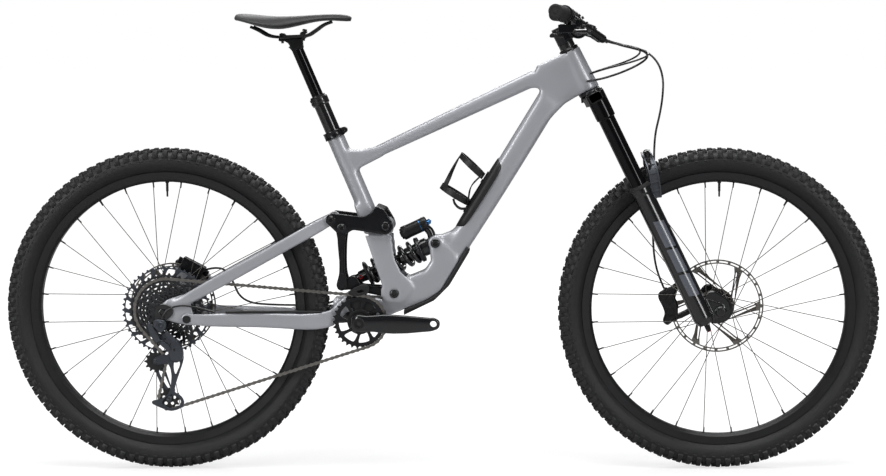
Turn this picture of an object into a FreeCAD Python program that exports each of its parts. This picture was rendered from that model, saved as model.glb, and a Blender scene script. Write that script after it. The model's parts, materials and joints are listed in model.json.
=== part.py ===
import FreeCAD, Part
import Sketcher
import math
import os
import re
from FreeCAD import Placement, Rotation, Vector

# Full-suspension mountain bike, in millimetres.
# Frame: origin on the ground, midway between the wheel axles; +X forward, +Y to the rider's left, +Z up.

os.makedirs("parts", exist_ok=True)
doc = FreeCAD.newDocument("mountain_bike")
sheet = doc.addObject("Spreadsheet::Sheet", "Sizes")

SIZES = {
    # wheels
    "wheelbase": 1274, "tyre_radius": 373, "tyre_half_width": 31, "tyre_wall": 3.5, "bead_radius": 312,
    "rim_half_width": 17.5, "rim_inner_radius": 294, "rim_lip": 4.5, "spoke_count": 28, "spoke_radius": 0.95,
    "spoke_offset": 26, "flange_radius": 31, "flange_thickness": 4, "hub_waist": 13,
    "front_hub_half": 55, "front_axle_radius": 7.5, "front_flange_right": 30, "front_flange_left": 30,
    "rear_hub_half": 74, "rear_axle_radius": 6, "rear_flange_right": 22, "rear_flange_left": 34,
    "rotor_thickness": 2, "front_rotor_radius": 105, "rear_rotor_radius": 100, "rotor_band": 18,
    "front_rotor_seat": 41.5, "rear_rotor_seat": 55, "rotor_spigot": 19, "rotor_windows": 6,
    "running_gap": 0.06, "side_gap": 0.3,
    # main frame
    "bb_back": 447, "bb_drop": 25, "bb_shell_half": 36.5, "bb_shell_radius": 24, "bb_bore": 17.5,
    "bb_cup_width": 7.5, "bb_cup_radius": 21.5, "web_half": 32, "mast_half": 38, "tunnel_half": 33,
    "down_tube_depth": 53, "down_tube_width": 56, "top_tube_depth": 38, "top_tube_width": 42,
    "gusset_half": 21, "seat_tube_radius": 20.5, "seat_tube_length": 192, "seat_angle": 67,
    "head_angle": 64, "head_tube_length": 112, "head_tube_radius": 27, "head_bore": 22, "cup_height": 7,
    "fork_length": 577.4, "fork_offset": 50.4,
    # seat post and saddle
    "collar_height": 14, "collar_wall": 4, "post_radius": 17.45, "post_insert": 180, "post_above": 76,
    "seal_height": 20, "seal_radius": 20.5, "inner_post_radius": 13.3, "dropper_travel": 120,
    "saddle_length": 266, "saddle_width": 145, "saddle_rise": 53.3, "rail_radius": 3.5, "rail_half_span": 22,
    # fork
    "steerer_radius": 14.3, "stanchion_radius": 19, "stanchion_half_span": 72, "leg_offset": 8.4,
    "sleeve_radius": 22.5, "sleeve_end": 64, "leg_radius": 23.2, "seal_start": 240,
    "leg_end": 588, "fork_travel": 170, "arch_radius": 9, "lug_half_gap": 55, "lug_thickness": 18,
    # cockpit
    "stem_height": 36, "stem_reach": 40, "clamp_radius": 17.5, "bar_radius": 11.1, "bar_half_width": 400,
    "bar_rise": 28, "grip_radius": 16.5, "grip_length": 135, "spacer_height": 11, "lever_radius": 5,
    # drivetrain
    "crank_length": 170, "crank_thickness": 17, "crank_inner": 71, "spindle_radius": 15,
    "shift_pin_radius": 3.5,
    "pedal_hole_radius": 7.14, "chain_pitch": 12.7, "ring_teeth": 30, "ring_line": 55, "cog_teeth": 36,
    "cog_line": 41.5, "pulley_teeth": 12, "tooth_half": 1.0, "chain_gap": 0.3, "chain_plate": 1.1,
    "chain_height": 7.6, "chain_level_run": 28, "cog_pitch": 3.5, "cog_thickness": 1.7,
    "largest_cog_line": 33.6,
    # rear suspension
    "rocker_inner": 38.5, "rocker_thickness": 9, "link_inner": 22, "link_thickness": 9,
    "pivot_radius": 8, "bolt_radius": 5, "ear_inner": 33, "ear_thickness": 10, "ear_radius": 13,
    "dropout_inner": 74.3, "dropout_thickness": 7.7, "stay_end_thickness": 8.7, "stay_end_radius": 14,
    "shock_eye_half": 12, "shock_eye_radius": 14, "shock_body_radius": 21, "shock_shaft_radius": 6.35,
    "spring_radius": 30, "spring_wire": 5.5, "spring_turns": 5.5,
    "open_pivot_upper": 4.4, "open_pivot_lower": 1.25, "open_pivot_shock": 2.65,
    # hoses
    "hose_radius": 2.5,
}

for row, (alias, number) in enumerate(SIZES.items(), start=1):
    sheet.set(f"A{row}", alias)
    sheet.set(f"B{row}", str(number))
    sheet.setAlias(f"B{row}", alias)
doc.recompute()


def size(alias):
    """The value of one named cell."""
    return float(sheet.get(alias))


WORD = re.compile(r"[a-z][a-z_]+")


def bind(item, **texts):
    """Ties properties to the sheet: plain words in each text are cell names."""
    for name, text in texts.items():
        path = name.replace("__", ".")
        item.setExpression(path, WORD.sub(lambda word: "Sizes." + word.group(0), str(text)))

# ---------------------------------------------------------------- places

REAR = Vector(-size("wheelbase") / 2, 0, size("tyre_radius"))
FRONT = Vector(size("wheelbase") / 2, 0, size("tyre_radius"))
BB = REAR + Vector(size("bb_back"), 0, -size("bb_drop"))
HORST = REAR + Vector(55, 0, -15)
MAIN = BB + Vector(12, 0, 40)
LOWER = BB + Vector(78, 0, 63)
DROP_LOW = BB + Vector(-43, 0, 81)
SHOCK_LOW = BB + Vector(-19, 0, 90)
SHOCK_TOP = BB + Vector(172.6, 0, 178.7)
ROCKER = BB + Vector(59.5, 0, 219)
DROP_TOP = BB + Vector(-40, 0, 216)
STAY_TOP = BB + Vector(-65, 0, 235)
COLLAR = BB + Vector(-58.7, 0, 424.8)
GUIDE_PULLEY = REAR + Vector(-26, -size("cog_line"), -118.6)
TENSION_PULLEY = REAR + Vector(4, -size("cog_line"), -206)
CAGE_PIVOT = REAR + Vector(24, -size("cog_line"), -101.7)
KNUCKLE = REAR + Vector(-4, 0, -27)

HEAD = math.radians(size("head_angle"))
FORK_DOWN = Vector(math.cos(HEAD), 0, -math.sin(HEAD))
FORK_FORE = Vector(math.sin(HEAD), 0, math.cos(HEAD))
RACE = FRONT - FORK_DOWN * size("fork_length") - FORK_FORE * size("fork_offset")
SEAT = math.radians(size("seat_angle"))
SEAT_UP = Vector(-math.cos(SEAT), 0, math.sin(SEAT))
SEAT_FORE = Vector(math.sin(SEAT), 0, math.cos(SEAT))
SHOCK_LENGTH = (SHOCK_LOW - SHOCK_TOP).Length
SHOCK_DOWN = (SHOCK_LOW - SHOCK_TOP).normalize()
SHOCK_OVER = Vector(-SHOCK_DOWN.z, 0, SHOCK_DOWN.x) * -1
DOOR_FOOT = SHOCK_TOP + Vector(54.4, 0, 46.9)
HEAD_TOP = RACE - FORK_DOWN * size("head_tube_length")
TUBE_HEAD = RACE + Vector(-116.4, 0, 0.9)
DOWN_TUBE_UP = (TUBE_HEAD - DOOR_FOOT).normalize()
DOWN_TUBE_OUT = Vector(DOWN_TUBE_UP.z, 0, -DOWN_TUBE_UP.x)
LATERAL = Vector(0, 1, 0)
ORIGIN = Vector(0, 0, 0)
STAY_LINE = (STAY_TOP - REAR).normalize()


def fork(along, side=0.0, fore=0.0):
    """A place measured down the steering axis from the crown race."""
    return RACE + FORK_DOWN * along + LATERAL * side + FORK_FORE * fore


def mast(along, side=0.0, fore=0.0):
    """A place measured up the seat tube from its collar."""
    return COLLAR + SEAT_UP * along + LATERAL * side + SEAT_FORE * fore


def shock(along, over=0.0, side=0.0):
    """A place measured down the shock from its upper eye."""
    return SHOCK_TOP + SHOCK_DOWN * along + SHOCK_OVER * over + LATERAL * side


def tube(along, out=0.0, side=0.0):
    """A place measured up the down tube's upper edge from the foot of the storage door."""
    return DOOR_FOOT + DOWN_TUBE_UP * along + DOWN_TUBE_OUT * out + LATERAL * side


def near(anchor, x, z, corner=0.0):
    """A corner of a side outline, beside an anchor."""
    return (anchor.x + x, anchor.z + z, corner)


def flat(point, corner=0.0):
    """A corner of a side outline at a place."""
    return (point.x, point.z, corner)

# ---------------------------------------------------------------- building blocks

made = []
NODES = []
drilled = []


def new(kind, hint):
    item = doc.addObject(kind, f"{hint}_{len(made)}")
    made.append(item)
    return item


def edges_of(outline):
    """Lines and tangent arcs round a closed outline of (x, y, corner radius)."""
    spans = []
    for index, (x, y, corner) in enumerate(outline):
        here = Vector(x, y, 0)
        before = Vector(*outline[index - 1][:2], 0) - here
        after = Vector(*outline[(index + 1) % len(outline)][:2], 0) - here
        if corner <= 0:
            spans.append((here, None, here))
            continue
        before.normalize()
        after.normalize()
        half = before.getAngle(after) / 2
        run = corner / math.tan(half)
        inward = (before + after).normalize()
        middle = here + inward * (corner / math.sin(half) - corner)
        spans.append((here + before * run, middle, here + after * run))
    edges = []
    for index, (start, middle, end) in enumerate(spans):
        if middle is not None:
            edges.append(Part.ArcOfCircle(start, middle, end))
        following = spans[(index + 1) % len(spans)][0]
        if (following - end).Length > 1e-6:
            edges.append(Part.LineSegment(end, following))
    return edges


def plane(body, role):
    return next(item for item in body.Origin.OriginFeatures if item.Role == role)


def plate(outline, low, high, holes=()):
    """A side outline padded from y = low to y = high, with round holes (anchor, radius text)."""
    body = new("PartDesign::Body", "plate")
    sketch = body.newObject("Sketcher::SketchObject", body.Name + "_outline")
    sketch.AttachmentSupport = [(plane(body, "XZ_Plane"), "")]
    sketch.MapMode = "FlatFace"
    sketch.addGeometry(edges_of(outline))
    bind(sketch, AttachmentOffset__Base__z=f"-({high})")
    pad = body.newObject("PartDesign::Pad", body.Name + "_pad")
    pad.Profile = sketch
    bind(pad, Length=f"({high}) - ({low})")
    for anchor, radius in holes:
        drill = body.newObject("Sketcher::SketchObject", f"{body.Name}_drill_{len(body.Group)}")
        drill.AttachmentSupport = [(plane(body, "XZ_Plane"), "")]
        drill.MapMode = "FlatFace"
        circle = drill.addGeometry(Part.Circle(Vector(anchor.x, anchor.z, 0), Vector(0, 0, 1), 1))
        held = drill.addConstraint(Sketcher.Constraint("Radius", circle, 1.0))
        bind(drill, **{f"Constraints[{held}]": radius, "AttachmentOffset__Base__z": f"-({high})"})
        pocket = body.newObject("PartDesign::Pocket", f"{body.Name}_pocket_{len(body.Group)}")
        pocket.Profile = drill
        pocket.Type = "ThroughAll"
        pocket.Midplane = True
        drilled.append((body.Group[-3], pocket, drill, pad))
    return body


def turned(profile, base, direction=LATERAL):
    """A profile of (radius, height, corner) turned about an axis through base."""
    body = new("PartDesign::Body", "turned")
    sketch = body.newObject("Sketcher::SketchObject", body.Name + "_profile")
    sketch.AttachmentSupport = [(plane(body, "XY_Plane"), "")]
    sketch.MapMode = "FlatFace"
    sketch.addGeometry(edges_of([(point + (0.0,))[:3] for point in profile]))
    spin = body.newObject("PartDesign::Revolution", body.Name + "_spin")
    spin.Profile = sketch
    spin.ReferenceAxis = (sketch, ["V_Axis"])
    spin.Angle = 360
    body.Placement = Placement(base, Rotation(LATERAL, direction))
    return body


def rod(start, end, radius, end_radius=None):
    """A round bar, or a cone, between two places; radii are texts for the sheet."""
    along = end - start
    if end_radius is None:
        item = new("Part::Cylinder", "rod")
        bind(item, Radius=radius)
    else:
        item = new("Part::Cone", "cone")
        bind(item, Radius1=radius, Radius2=end_radius)
    item.Height = along.Length
    item.Placement = Placement(start, Rotation(Vector(0, 0, 1), along))
    return item


def cross_rod(anchor, low, high, radius):
    """A round bar across the bike from y = low to y = high."""
    item = new("Part::Cylinder", "cross_rod")
    item.Placement = Placement(Vector(anchor.x, 0, anchor.z), Rotation(Vector(0, 0, 1), LATERAL))
    bind(item, Radius=radius, Height=f"({high}) - ({low})", Placement__Base__y=low)
    return item


def ball(centre, radius):
    item = new("Part::Sphere", "ball")
    item.Placement = Placement(centre, Rotation())
    bind(item, Radius=radius)
    return item


def block(centre, long, wide, tall, direction=Vector(1, 0, 0)):
    """A box round a centre; its length runs along direction in the side plane, its width along Y."""
    item = new("Part::Box", "block")
    bind(item, Length=long, Width=wide, Height=tall)
    doc.recompute([item])
    rotation = Rotation(direction, LATERAL, Vector(0, 0, 1), "XYZ")
    half = Vector(item.Length.Value / 2, item.Width.Value / 2, item.Height.Value / 2)
    item.Placement = Placement(centre - rotation.multVec(half), rotation)
    return item


def loft(sections, ruled=False):
    """A skin through rounded rectangles: (centre, direction, width, depth, corner)."""
    sketches = []
    for centre, direction, width, depth, corner in sections:
        sketch = new("Sketcher::SketchObject", "section")
        half, tall = width / 2, depth / 2
        outline = [
            (-half, -tall, corner), (half, -tall, corner), (half, tall, corner), (-half, tall, corner)]
        sketch.addGeometry(edges_of(outline))
        sketch.Placement = Placement(centre, Rotation(LATERAL, Vector(), direction, "ZXY"))
        sketches.append(sketch)
    item = new("Part::Loft", "loft")
    item.Sections = sketches
    item.Solid = True
    item.Ruled = ruled
    return item


def fuse(items):
    if len(items) == 1:
        return items[0]
    item = new("Part::MultiFuse", "fuse")
    item.Shapes = items
    item.Refine = False
    return item


def cut(base, tools):
    item = new("Part::Cut", "cut")
    item.Base = base
    item.Tool = fuse(tools)
    item.Refine = False
    return item


def mirrored(item):
    """The same piece on the other side of the bike."""
    other = new("Part::Mirroring", "mirrored")
    other.Source = item
    other.Normal = LATERAL
    other.Base = ORIGIN
    return other


def both(item):
    return [item, mirrored(item)]


def node(label, pieces, cuts=(), apart=False):
    """One named sub-part: pieces joined into one solid, or kept apart as a group."""
    if apart and len(pieces) > 1:
        item = new("Part::Compound", label)
        item.Links = pieces
    else:
        item = fuse(pieces)
    if cuts:
        item = cut(item, list(cuts))
    item.Label = label
    NODES.append(item)
    return item


def hose(label, points, radius):
    """A tube along straight runs joined by tangent arcs; prints the radii of its bends."""
    spans = []
    radii = []
    for index in range(1, len(points) - 1):
        here = points[index]
        back = points[index - 1] - here
        ahead = points[index + 1] - here
        turning = math.pi - back.getAngle(ahead)
        run = 0.45 * min(back.Length, ahead.Length)
        radii.append(run / math.tan(turning / 2))
        inward = (Vector(back).normalize() + Vector(ahead).normalize()).normalize()
        reach = radii[-1] / math.cos(turning / 2) - radii[-1]
        spans.append((here + Vector(back).normalize() * run, here + inward * reach,
                      here + Vector(ahead).normalize() * run))
    edges = []
    start = points[0]
    for first, middle, last in spans:
        edges.append(Part.LineSegment(start, first).toShape())
        edges.append(Part.Arc(first, middle, last).toShape())
        start = last
    edges.append(Part.LineSegment(start, points[-1]).toShape())
    path = Part.Wire(edges)
    circle = Part.Wire([Part.makeCircle(radius, points[0], points[1] - points[0])])
    solid = path.makePipeShell([circle], True, True)
    expected = math.pi * radius ** 2 * path.Length
    print(label, "bend radii", [round(value) for value in radii],
          "volume ratio", round(solid.Volume / expected, 4))
    item = new("Part::Feature", label)
    item.Shape = solid
    return item

# ---------------------------------------------------------------- wheels

def wheel(end, axle, axle_radius, hub_half, right, left, rotor_seat, rotor_radius):
    """Tyre, rim, spokes, hub and brake rotor of one wheel; texts name the sheet's cells."""
    radius = size("tyre_radius")
    wide = size("tyre_half_width")
    wall = size("tyre_wall")
    bead = size("bead_radius")
    lip = size("rim_lip")
    rim_wide = size("rim_half_width")
    bead_out = rim_wide - lip
    outer = [(bead, bead_out), (bead + lip, bead_out), (bead + lip + 5, bead_out + 7),
             (bead + 17, wide - 3), (bead + 29, wide), (radius - 14, wide - 1), (radius - 4, wide - 7),
             (radius, wide - 18)]
    inner = [(radius - wall, wide - 20), (radius - 8, wide - 11), (radius - 17, wide - 5),
             (bead + 29, wide - wall), (bead + 18, wide - 7), (bead + lip + 5, bead_out + 1),
             (bead + lip, bead_out - wall), (bead, bead_out - wall)]
    profile = outer + [(x, -y) for x, y in reversed(outer)]
    profile += [(x, -y) for x, y in reversed(inner)] + inner
    tyre = turned(profile, axle)
    node(f"{end}_tyre", [tyre])

    rim_in = size("rim_inner_radius")
    side = [(rim_in, 9), (rim_in + 6, 15), (bead + lip, rim_wide), (bead + lip, bead_out),
            (bead, bead_out), (bead, bead_out - wall), (bead - 6, 6)]
    node(f"{end}_rim", [turned(side + [(x, -y) for x, y in reversed(side)], axle)])

    bore = size(axle_radius) + size("running_gap")
    flange = size("flange_radius")
    thick = size("flange_thickness")
    waist = size("hub_waist")
    end_y = size(hub_half) - 0.2
    seat = size(rotor_seat)
    spigot = size("rotor_spigot")
    right_y = size(right)
    left_y = size(left)
    profile = [
        (bore, -end_y), (waist - 1, -end_y), (waist - 1, -right_y - thick - 2),
        (waist + 5, -right_y - thick), (flange, -right_y - thick / 2), (flange, -right_y + thick / 2),
        (waist + 5, -right_y + thick), (waist, -right_y + thick + 8), (waist, left_y - thick - 8),
        (waist + 5, left_y - thick), (flange, left_y - thick / 2), (flange, left_y + thick / 2),
        (waist + 5, left_y + thick), (spigot + 3, seat - 2), (spigot + 3, seat), (spigot, seat),
        (spigot, seat + 4), (waist - 1, seat + 6), (waist - 1, end_y), (bore, end_y)]
    node(f"{end}_hub", [turned(profile, axle)])

    spokes = []
    count = int(size("spoke_count"))
    foot = flange + 0.3
    tip = rim_in - 0.4
    offset = size("spoke_offset")
    sweep = math.acos(offset / tip) - math.acos(offset / foot)
    for index in range(count):
        hand = 1 if index % 4 < 2 else -1
        side_y = left_y if index % 2 else -right_y
        rim_angle = 2 * math.pi * (index + 0.5) / count
        foot_angle = rim_angle - hand * sweep
        shift = 1.2 * hand
        start = Vector(foot * math.cos(foot_angle), side_y + shift, foot * math.sin(foot_angle))
        stop = Vector(tip * math.cos(rim_angle), math.copysign(3, side_y), tip * math.sin(rim_angle))
        spokes.append(rod(axle + start, axle + stop, "spoke_radius"))
    node(f"{end}_spokes", spokes, apart=True)

    disc = size(rotor_radius)
    band = disc - size("rotor_band")
    carrier = spigot + 9
    rotor = cross_rod(axle, rotor_seat, f"{rotor_seat} + rotor_thickness", rotor_radius)
    tools = [cross_rod(axle, rotor_seat, f"{rotor_seat} + rotor_thickness", "rotor_spigot")]
    windows = int(size("rotor_windows"))
    step = 2 * math.pi / windows
    for index in range(windows):
        middle = index * step
        corners = []
        for reach, spread, lean in ((band, 0.40, 0.0), (band, -0.40, 0.0), (carrier, -0.28, -0.35),
                                    (carrier, 0.28, -0.35)):
            angle = middle + spread * step + lean
            corners.append((axle.x + reach * math.cos(angle), axle.z + reach * math.sin(angle), 3))
        tools.append(plate(corners, rotor_seat, f"{rotor_seat} + rotor_thickness"))
    node(f"{end}_rotor", [rotor], tools)


wheel("front", FRONT, "front_axle_radius", "front_hub_half", "front_flange_right", "front_flange_left",
      "front_rotor_seat", "front_rotor_radius")
wheel("rear", REAR, "rear_axle_radius", "rear_hub_half", "rear_flange_right", "rear_flange_left",
      "rear_rotor_seat", "rear_rotor_radius")

# ---------------------------------------------------------------- main frame

BOSS = 17
mast_walls = plate([near(ROCKER, -50.5, -20), near(LOWER, -30, 19, 20), near(LOWER, -34, -7, 10),
                    near(LOWER, -16, -21, 10), near(LOWER, 17, -23, 12), near(LOWER, 46, 12),
                    near(LOWER, 32, 37, 12), near(LOWER, 17, 50, 14), near(LOWER, 1.5, 84),
                    near(ROCKER, 14, -20)], "-mast_half", "mast_half")
mast_neck = plate([near(ROCKER, -75.5, 48), near(ROCKER, -67.5, 25.5), near(ROCKER, -50.5, -20.5),
                   near(ROCKER, 12, -20.5), near(ROCKER, BOSS, 0), near(ROCKER, 8, 15),
                   near(ROCKER, -29.5, 33), near(ROCKER, -35.5, 48)], "-22", "22")
rocker_boss = cross_rod(ROCKER, "-mast_half - 0.2", "mast_half + 0.2", str(BOSS))
bottom_web = plate(
    [
        near(BB, -18, -16, 8), near(BB, 6, -23, 8), near(BB, 67, 11.5, 60), near(BB, 154.5, 48, 40),
        near(BB, 184.5, 68, 30), near(BB, 228, 140), near(SHOCK_TOP, 24, 0),
        near(SHOCK_TOP, -14, -10, 5), near(SHOCK_TOP, -10.6, -40.7, 10),
        near(SHOCK_TOP, -25.6, -63.7, 12), near(LOWER, 32, 37, 12), near(LOWER, 18, 19),
        near(LOWER, 18, -17, 6), near(LOWER, -18, -17), near(LOWER, -38, -11), near(MAIN, 0, 12.9),
        near(MAIN, -13, 0, 8), near(BB, -22, 10, 6)],
    "-web_half", "web_half")
main_boss = cross_rod(MAIN, "-ear_inner + 0.4", "ear_inner - 0.4", "ear_radius")
shell = cross_rod(BB, "-bb_shell_half", "bb_shell_half", "bb_shell_radius")
shock_boss = cross_rod(SHOCK_TOP, "-web_half", "web_half", str(BOSS))
depth = size("down_tube_depth")
wide = size("down_tube_width")
down_tube = loft([(tube(-150, 23.5), DOWN_TUBE_UP, wide - 6, depth - 6, 12),
                  (tube(0, 26), DOWN_TUBE_UP, wide, depth - 2, 14),
                  (tube(180, 26.5), DOWN_TUBE_UP, wide, depth, 14),
                  (tube((TUBE_HEAD - DOOR_FOOT).Length, 25.5), DOWN_TUBE_UP, wide - 6, depth, 14)])
boss_gusset = plate([near(SHOCK_TOP, 0, 17), near(SHOCK_TOP, 12, 17), near(SHOCK_TOP, 36.4, 26.8, 6),
                     flat(tube(-2, 2)), flat(tube(20, 30)), flat(tube(-90, 30)), near(SHOCK_TOP, -8, -15)],
                    "-24", "24")
top_depth = size("top_tube_depth")
top_wide = size("top_tube_width")
top_rear = COLLAR + Vector(98, 0, -36.5)
top_front = RACE + Vector(-125, 0, 37.5)
top_axis = (top_front - top_rear).normalize()
top_tube = loft([(top_rear, top_axis, top_wide - 8, top_depth - 12, 9),
                 ((top_rear + top_front) / 2, top_axis, top_wide - 3, top_depth - 6, 11),
                 (top_front, top_axis, top_wide, top_depth - 1, 13)])
seat_gusset = plate([near(COLLAR, 110, -47), near(COLLAR, 58, -73.8, 20), near(COLLAR, 44, -90),
                     near(COLLAR, 14, -22), near(COLLAR, 34, -32, 16), near(COLLAR, 60, -32.5),
                     near(COLLAR, 111, -20.8)], "-16", "16")
head_web = plate(
    [
        near(RACE, -140, 12), near(RACE, -114, 14, 8), near(RACE, -117, -2), near(RACE, -99.8, -68),
        near(RACE, -80, -45, 30), near(RACE, -58, -23, 40), near(RACE, -24.5, -3), near(RACE, -10, 4),
        near(HEAD_TOP, 2.1, -9.7), near(HEAD_TOP, -16.9, -10.7, 20), near(RACE, -122, 64)],
    "-gusset_half", "gusset_half")
head_start = size("cup_height")
head_tube = rod(fork(-head_start), fork(-size("head_tube_length")), "head_tube_radius",
                "head_tube_radius - 2.5")
seat_tube = rod(mast(0), mast(-size("seat_tube_length")), "seat_tube_radius")

tunnel = plate(
    [
        near(SHOCK_LOW, -60, 109), near(SHOCK_LOW, -60, -36.8), near(MAIN, 10, 13.2),
        near(LOWER, -38, -10.9), near(LOWER, -18, -17), near(LOWER, 18, -17, 4), near(LOWER, 18, 19),
        near(LOWER, 34, 52), near(LOWER, 34, 120), near(LOWER, 6, 135)],
    "-tunnel_half", "tunnel_half")
cavity = block(tube(84, 20.5), "142", "44", "47", DOWN_TUBE_UP)
eye_slot = cross_rod(SHOCK_TOP, "-shock_eye_half - side_gap", "shock_eye_half + side_gap",
                     "shock_eye_radius + 1")
eye_mouth = block(shock(40, 6), "80", "2 * shock_eye_half + 2 * side_gap", "46", SHOCK_DOWN)
can_room = plate([flat(shock(19, -23)), flat(shock(125, -23)), flat(shock(125, 40)), flat(shock(19, 40))],
                 "-shock_body_radius - 1.5", "shock_body_radius + 1.5")
node("front_triangle",
     [mast_walls, mast_neck, rocker_boss, bottom_web, main_boss, shell, shock_boss, boss_gusset, down_tube,
      top_tube, seat_gusset, head_web, head_tube, seat_tube],
     [tunnel, cavity, eye_slot, eye_mouth, can_room,
      rod(mast(1), mast(-size("post_insert")), "post_radius"),
      rod(fork(0), fork(-size("head_tube_length") - 2), "head_bore"),
      cross_rod(BB, "-bb_shell_half - 1", "bb_shell_half + 1", "bb_bore"),
      cross_rod(ROCKER, "-50", "50", "pivot_radius"), cross_rod(LOWER, "-50", "50", "pivot_radius"),
      cross_rod(MAIN, "-50", "50", "pivot_radius"), cross_rod(SHOCK_TOP, "-50", "50", "bolt_radius")])

guard_face = [near(BB, 247, 172), near(BB, 184.5, 68, 30), near(BB, 154.5, 48, 40), near(BB, 99, 24.8)]
guard_back = [near(BB, 99, 12), near(BB, 169.5, 46, 30), near(BB, 204.5, 81, 30), near(BB, 251, 159)]
node("down_tube_guard", [plate(guard_face + guard_back, "-web_half", "web_half")],
     [plate(guard_face + [near(BB, 60, 60), near(BB, 150, 250)], "-web_half", "web_half"), down_tube,
      bottom_web])

# headset rings in the head tube, bottom-bracket cups in the shell
head_end = size("head_tube_length")
bore = size("head_bore")
inner = size("steerer_radius") + size("running_gap")
cup = size("cup_height")
lower_ring = turned(
    [(inner, 0), (bore + 3, 0), (bore + 4, cup), (bore, cup), (bore, cup + 12), (inner, cup + 12)],
    fork(0), FORK_DOWN * -1)
upper_ring = turned([(inner, head_end - 12), (bore, head_end - 12), (bore, head_end), (bore + 2, head_end),
                     (bore - 2, head_end + 4), (inner, head_end + 4)], fork(0), FORK_DOWN * -1)
spindle = size("spindle_radius") + size("running_gap")
shell_half = size("bb_shell_half")
cup_out = shell_half + size("bb_cup_width")
cups = []
for direction in (LATERAL, LATERAL * -1):
    cups.append(turned([(spindle, shell_half - 16), (size("bb_bore"), shell_half - 16),
                        (size("bb_bore"), shell_half), (size("bb_cup_radius"), shell_half),
                        (size("bb_cup_radius"), cup_out), (spindle, cup_out)], BB, direction))
node("bearing_cups", [lower_ring, upper_ring] + cups, apart=True)

# pivot axles held in the frame, each with a head on both sides
axles = []
for anchor, half, radius, head in ((ROCKER, "rocker_inner + rocker_thickness + side_gap", "pivot_radius",
                                    "12"),
                                   (LOWER, "mast_half", "pivot_radius", "10"),
                                   (MAIN, "ear_inner + ear_thickness + side_gap", "pivot_radius", "11"),
                                   (SHOCK_TOP, "web_half", "bolt_radius", "8")):
    shaft = cross_rod(anchor, f"-({half}) - 2", f"{half} + 2", radius)
    caps = both(cross_rod(anchor, half, f"{half} + 2.5", head))
    axles.append(fuse([shaft] + caps))

# ---------------------------------------------------------------- seat post and saddle

collar_out = size("seat_tube_radius") + size("collar_wall")
collar = turned([(size("post_radius"), 0.0), (collar_out, 0.0), (collar_out, size("collar_height")),
                 (size("post_radius"), size("collar_height"))], COLLAR, SEAT_UP)
collar_lug = block(mast(7, 0, -collar_out - 2), "12", "20", "collar_height - 2", SEAT_FORE)
collar_split = block(mast(7, 0, -collar_out + 2), "20", "2.4", "40", SEAT_FORE)
collar_hole = rod(mast(7, -20, -collar_out - 3), mast(7, 20, -collar_out - 3), "2.5")
node("seat_collar", [collar, collar_lug],
     [collar_split, collar_hole, rod(mast(-5), mast(30), "post_radius")])
collar_bolt = fuse([rod(mast(7, -13, -collar_out - 3), mast(7, 10, -collar_out - 3), "2.5"),
                    rod(mast(7, -13, -collar_out - 3), mast(7, -10, -collar_out - 3), "4")])
node("frame_bolts", axles + [collar_bolt], apart=True)

above = size("post_above")
post_bore = size("inner_post_radius") + size("running_gap")
seal_top = above + size("seal_height")
node(
    "seatpost_outer",
    [
        turned(
            [
                (post_bore, -size("post_insert")), (size("post_radius"), -size("post_insert")),
                (size("post_radius"), above), (size("seal_radius"), above + 3),
                (size("seal_radius"), seal_top - 3), (post_bore + 4, seal_top), (post_bore, seal_top)],
            COLLAR, SEAT_UP)])
travel = size("dropper_travel")
post_top = seal_top + travel + 12
node("seatpost_inner", [rod(mast(above - 60), mast(post_top), "inner_post_radius"),
                        rod(mast(post_top - 11), mast(post_top), "inner_post_radius",
                            "inner_post_radius + 4")])
clamp_at = mast(post_top)
rail_z = clamp_at.z + 13
rail_half = size("rail_half_span")
cradle = block(Vector(clamp_at.x, 0, clamp_at.z + 5), "40", "2 * rail_half_span + 12", "10")
clamp_body = fuse([cradle, block(Vector(clamp_at.x, 0, clamp_at.z + 11), "34", "2 * rail_half_span + 14",
                                 "8")])
yoke = block(Vector(clamp_at.x, 0, clamp_at.z + 20), "36", "2 * rail_half_span + 16", "7")
rails_cut = both(rod(Vector(clamp_at.x - 60, rail_half, rail_z), Vector(clamp_at.x + 60, rail_half, rail_z),
                     "rail_radius"))
clamp_whole = cut(fuse([clamp_body, yoke, block(Vector(clamp_at.x, 0, clamp_at.z + 15.5), "30", "30",
                                                "3")]),
                  rails_cut + [rod(mast(post_top - 30), mast(post_top), "inner_post_radius + 4")])
clamp_bolts = [rod(Vector(clamp_at.x + offset, 0, clamp_at.z + 23.5),
                   Vector(clamp_at.x + offset, 0, clamp_at.z + 25), "4") for offset in (-14, 14)]
node("saddle_clamp", [clamp_whole] + clamp_bolts, apart=True)

top = rail_z + size("saddle_rise")
tail = clamp_at.x - 139.5
long = size("saddle_length")
broad = size("saddle_width")
SHAPE = ((0.0, 0.70, 13, -1), (0.08, 0.95, 21, -2), (0.18, 1.0, 28, -4), (0.34, 0.84, 34, -6),
         (0.46, 0.66, 30, -5.5), (0.6, 0.46, 23, -3.5), (0.73, 0.35, 17.5, -1.5), (0.86, 0.29, 17, -1.5),
         (0.95, 0.25, 14, -4), (1.0, 0.18, 9, -8))
FORE = Vector(1, 0, 0)
pad = []
shell_skin = []
for share, breadth, thick, lift in SHAPE:
    across = breadth * broad
    pad.append((Vector(tail + share * long, 0, top + lift - thick / 2), FORE, across, thick,
                min(thick * 0.4, 9)))
    shell_skin.append((Vector(tail + share * long, 0, top + lift - thick - 1.5 - 0.01), FORE,
                       across - 8, 3, 1.2))
node("saddle_cover", [loft(pad)])
saddle_cut = loft(pad)
base_shell = cut(loft(shell_skin), [saddle_cut])
rails = []
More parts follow.
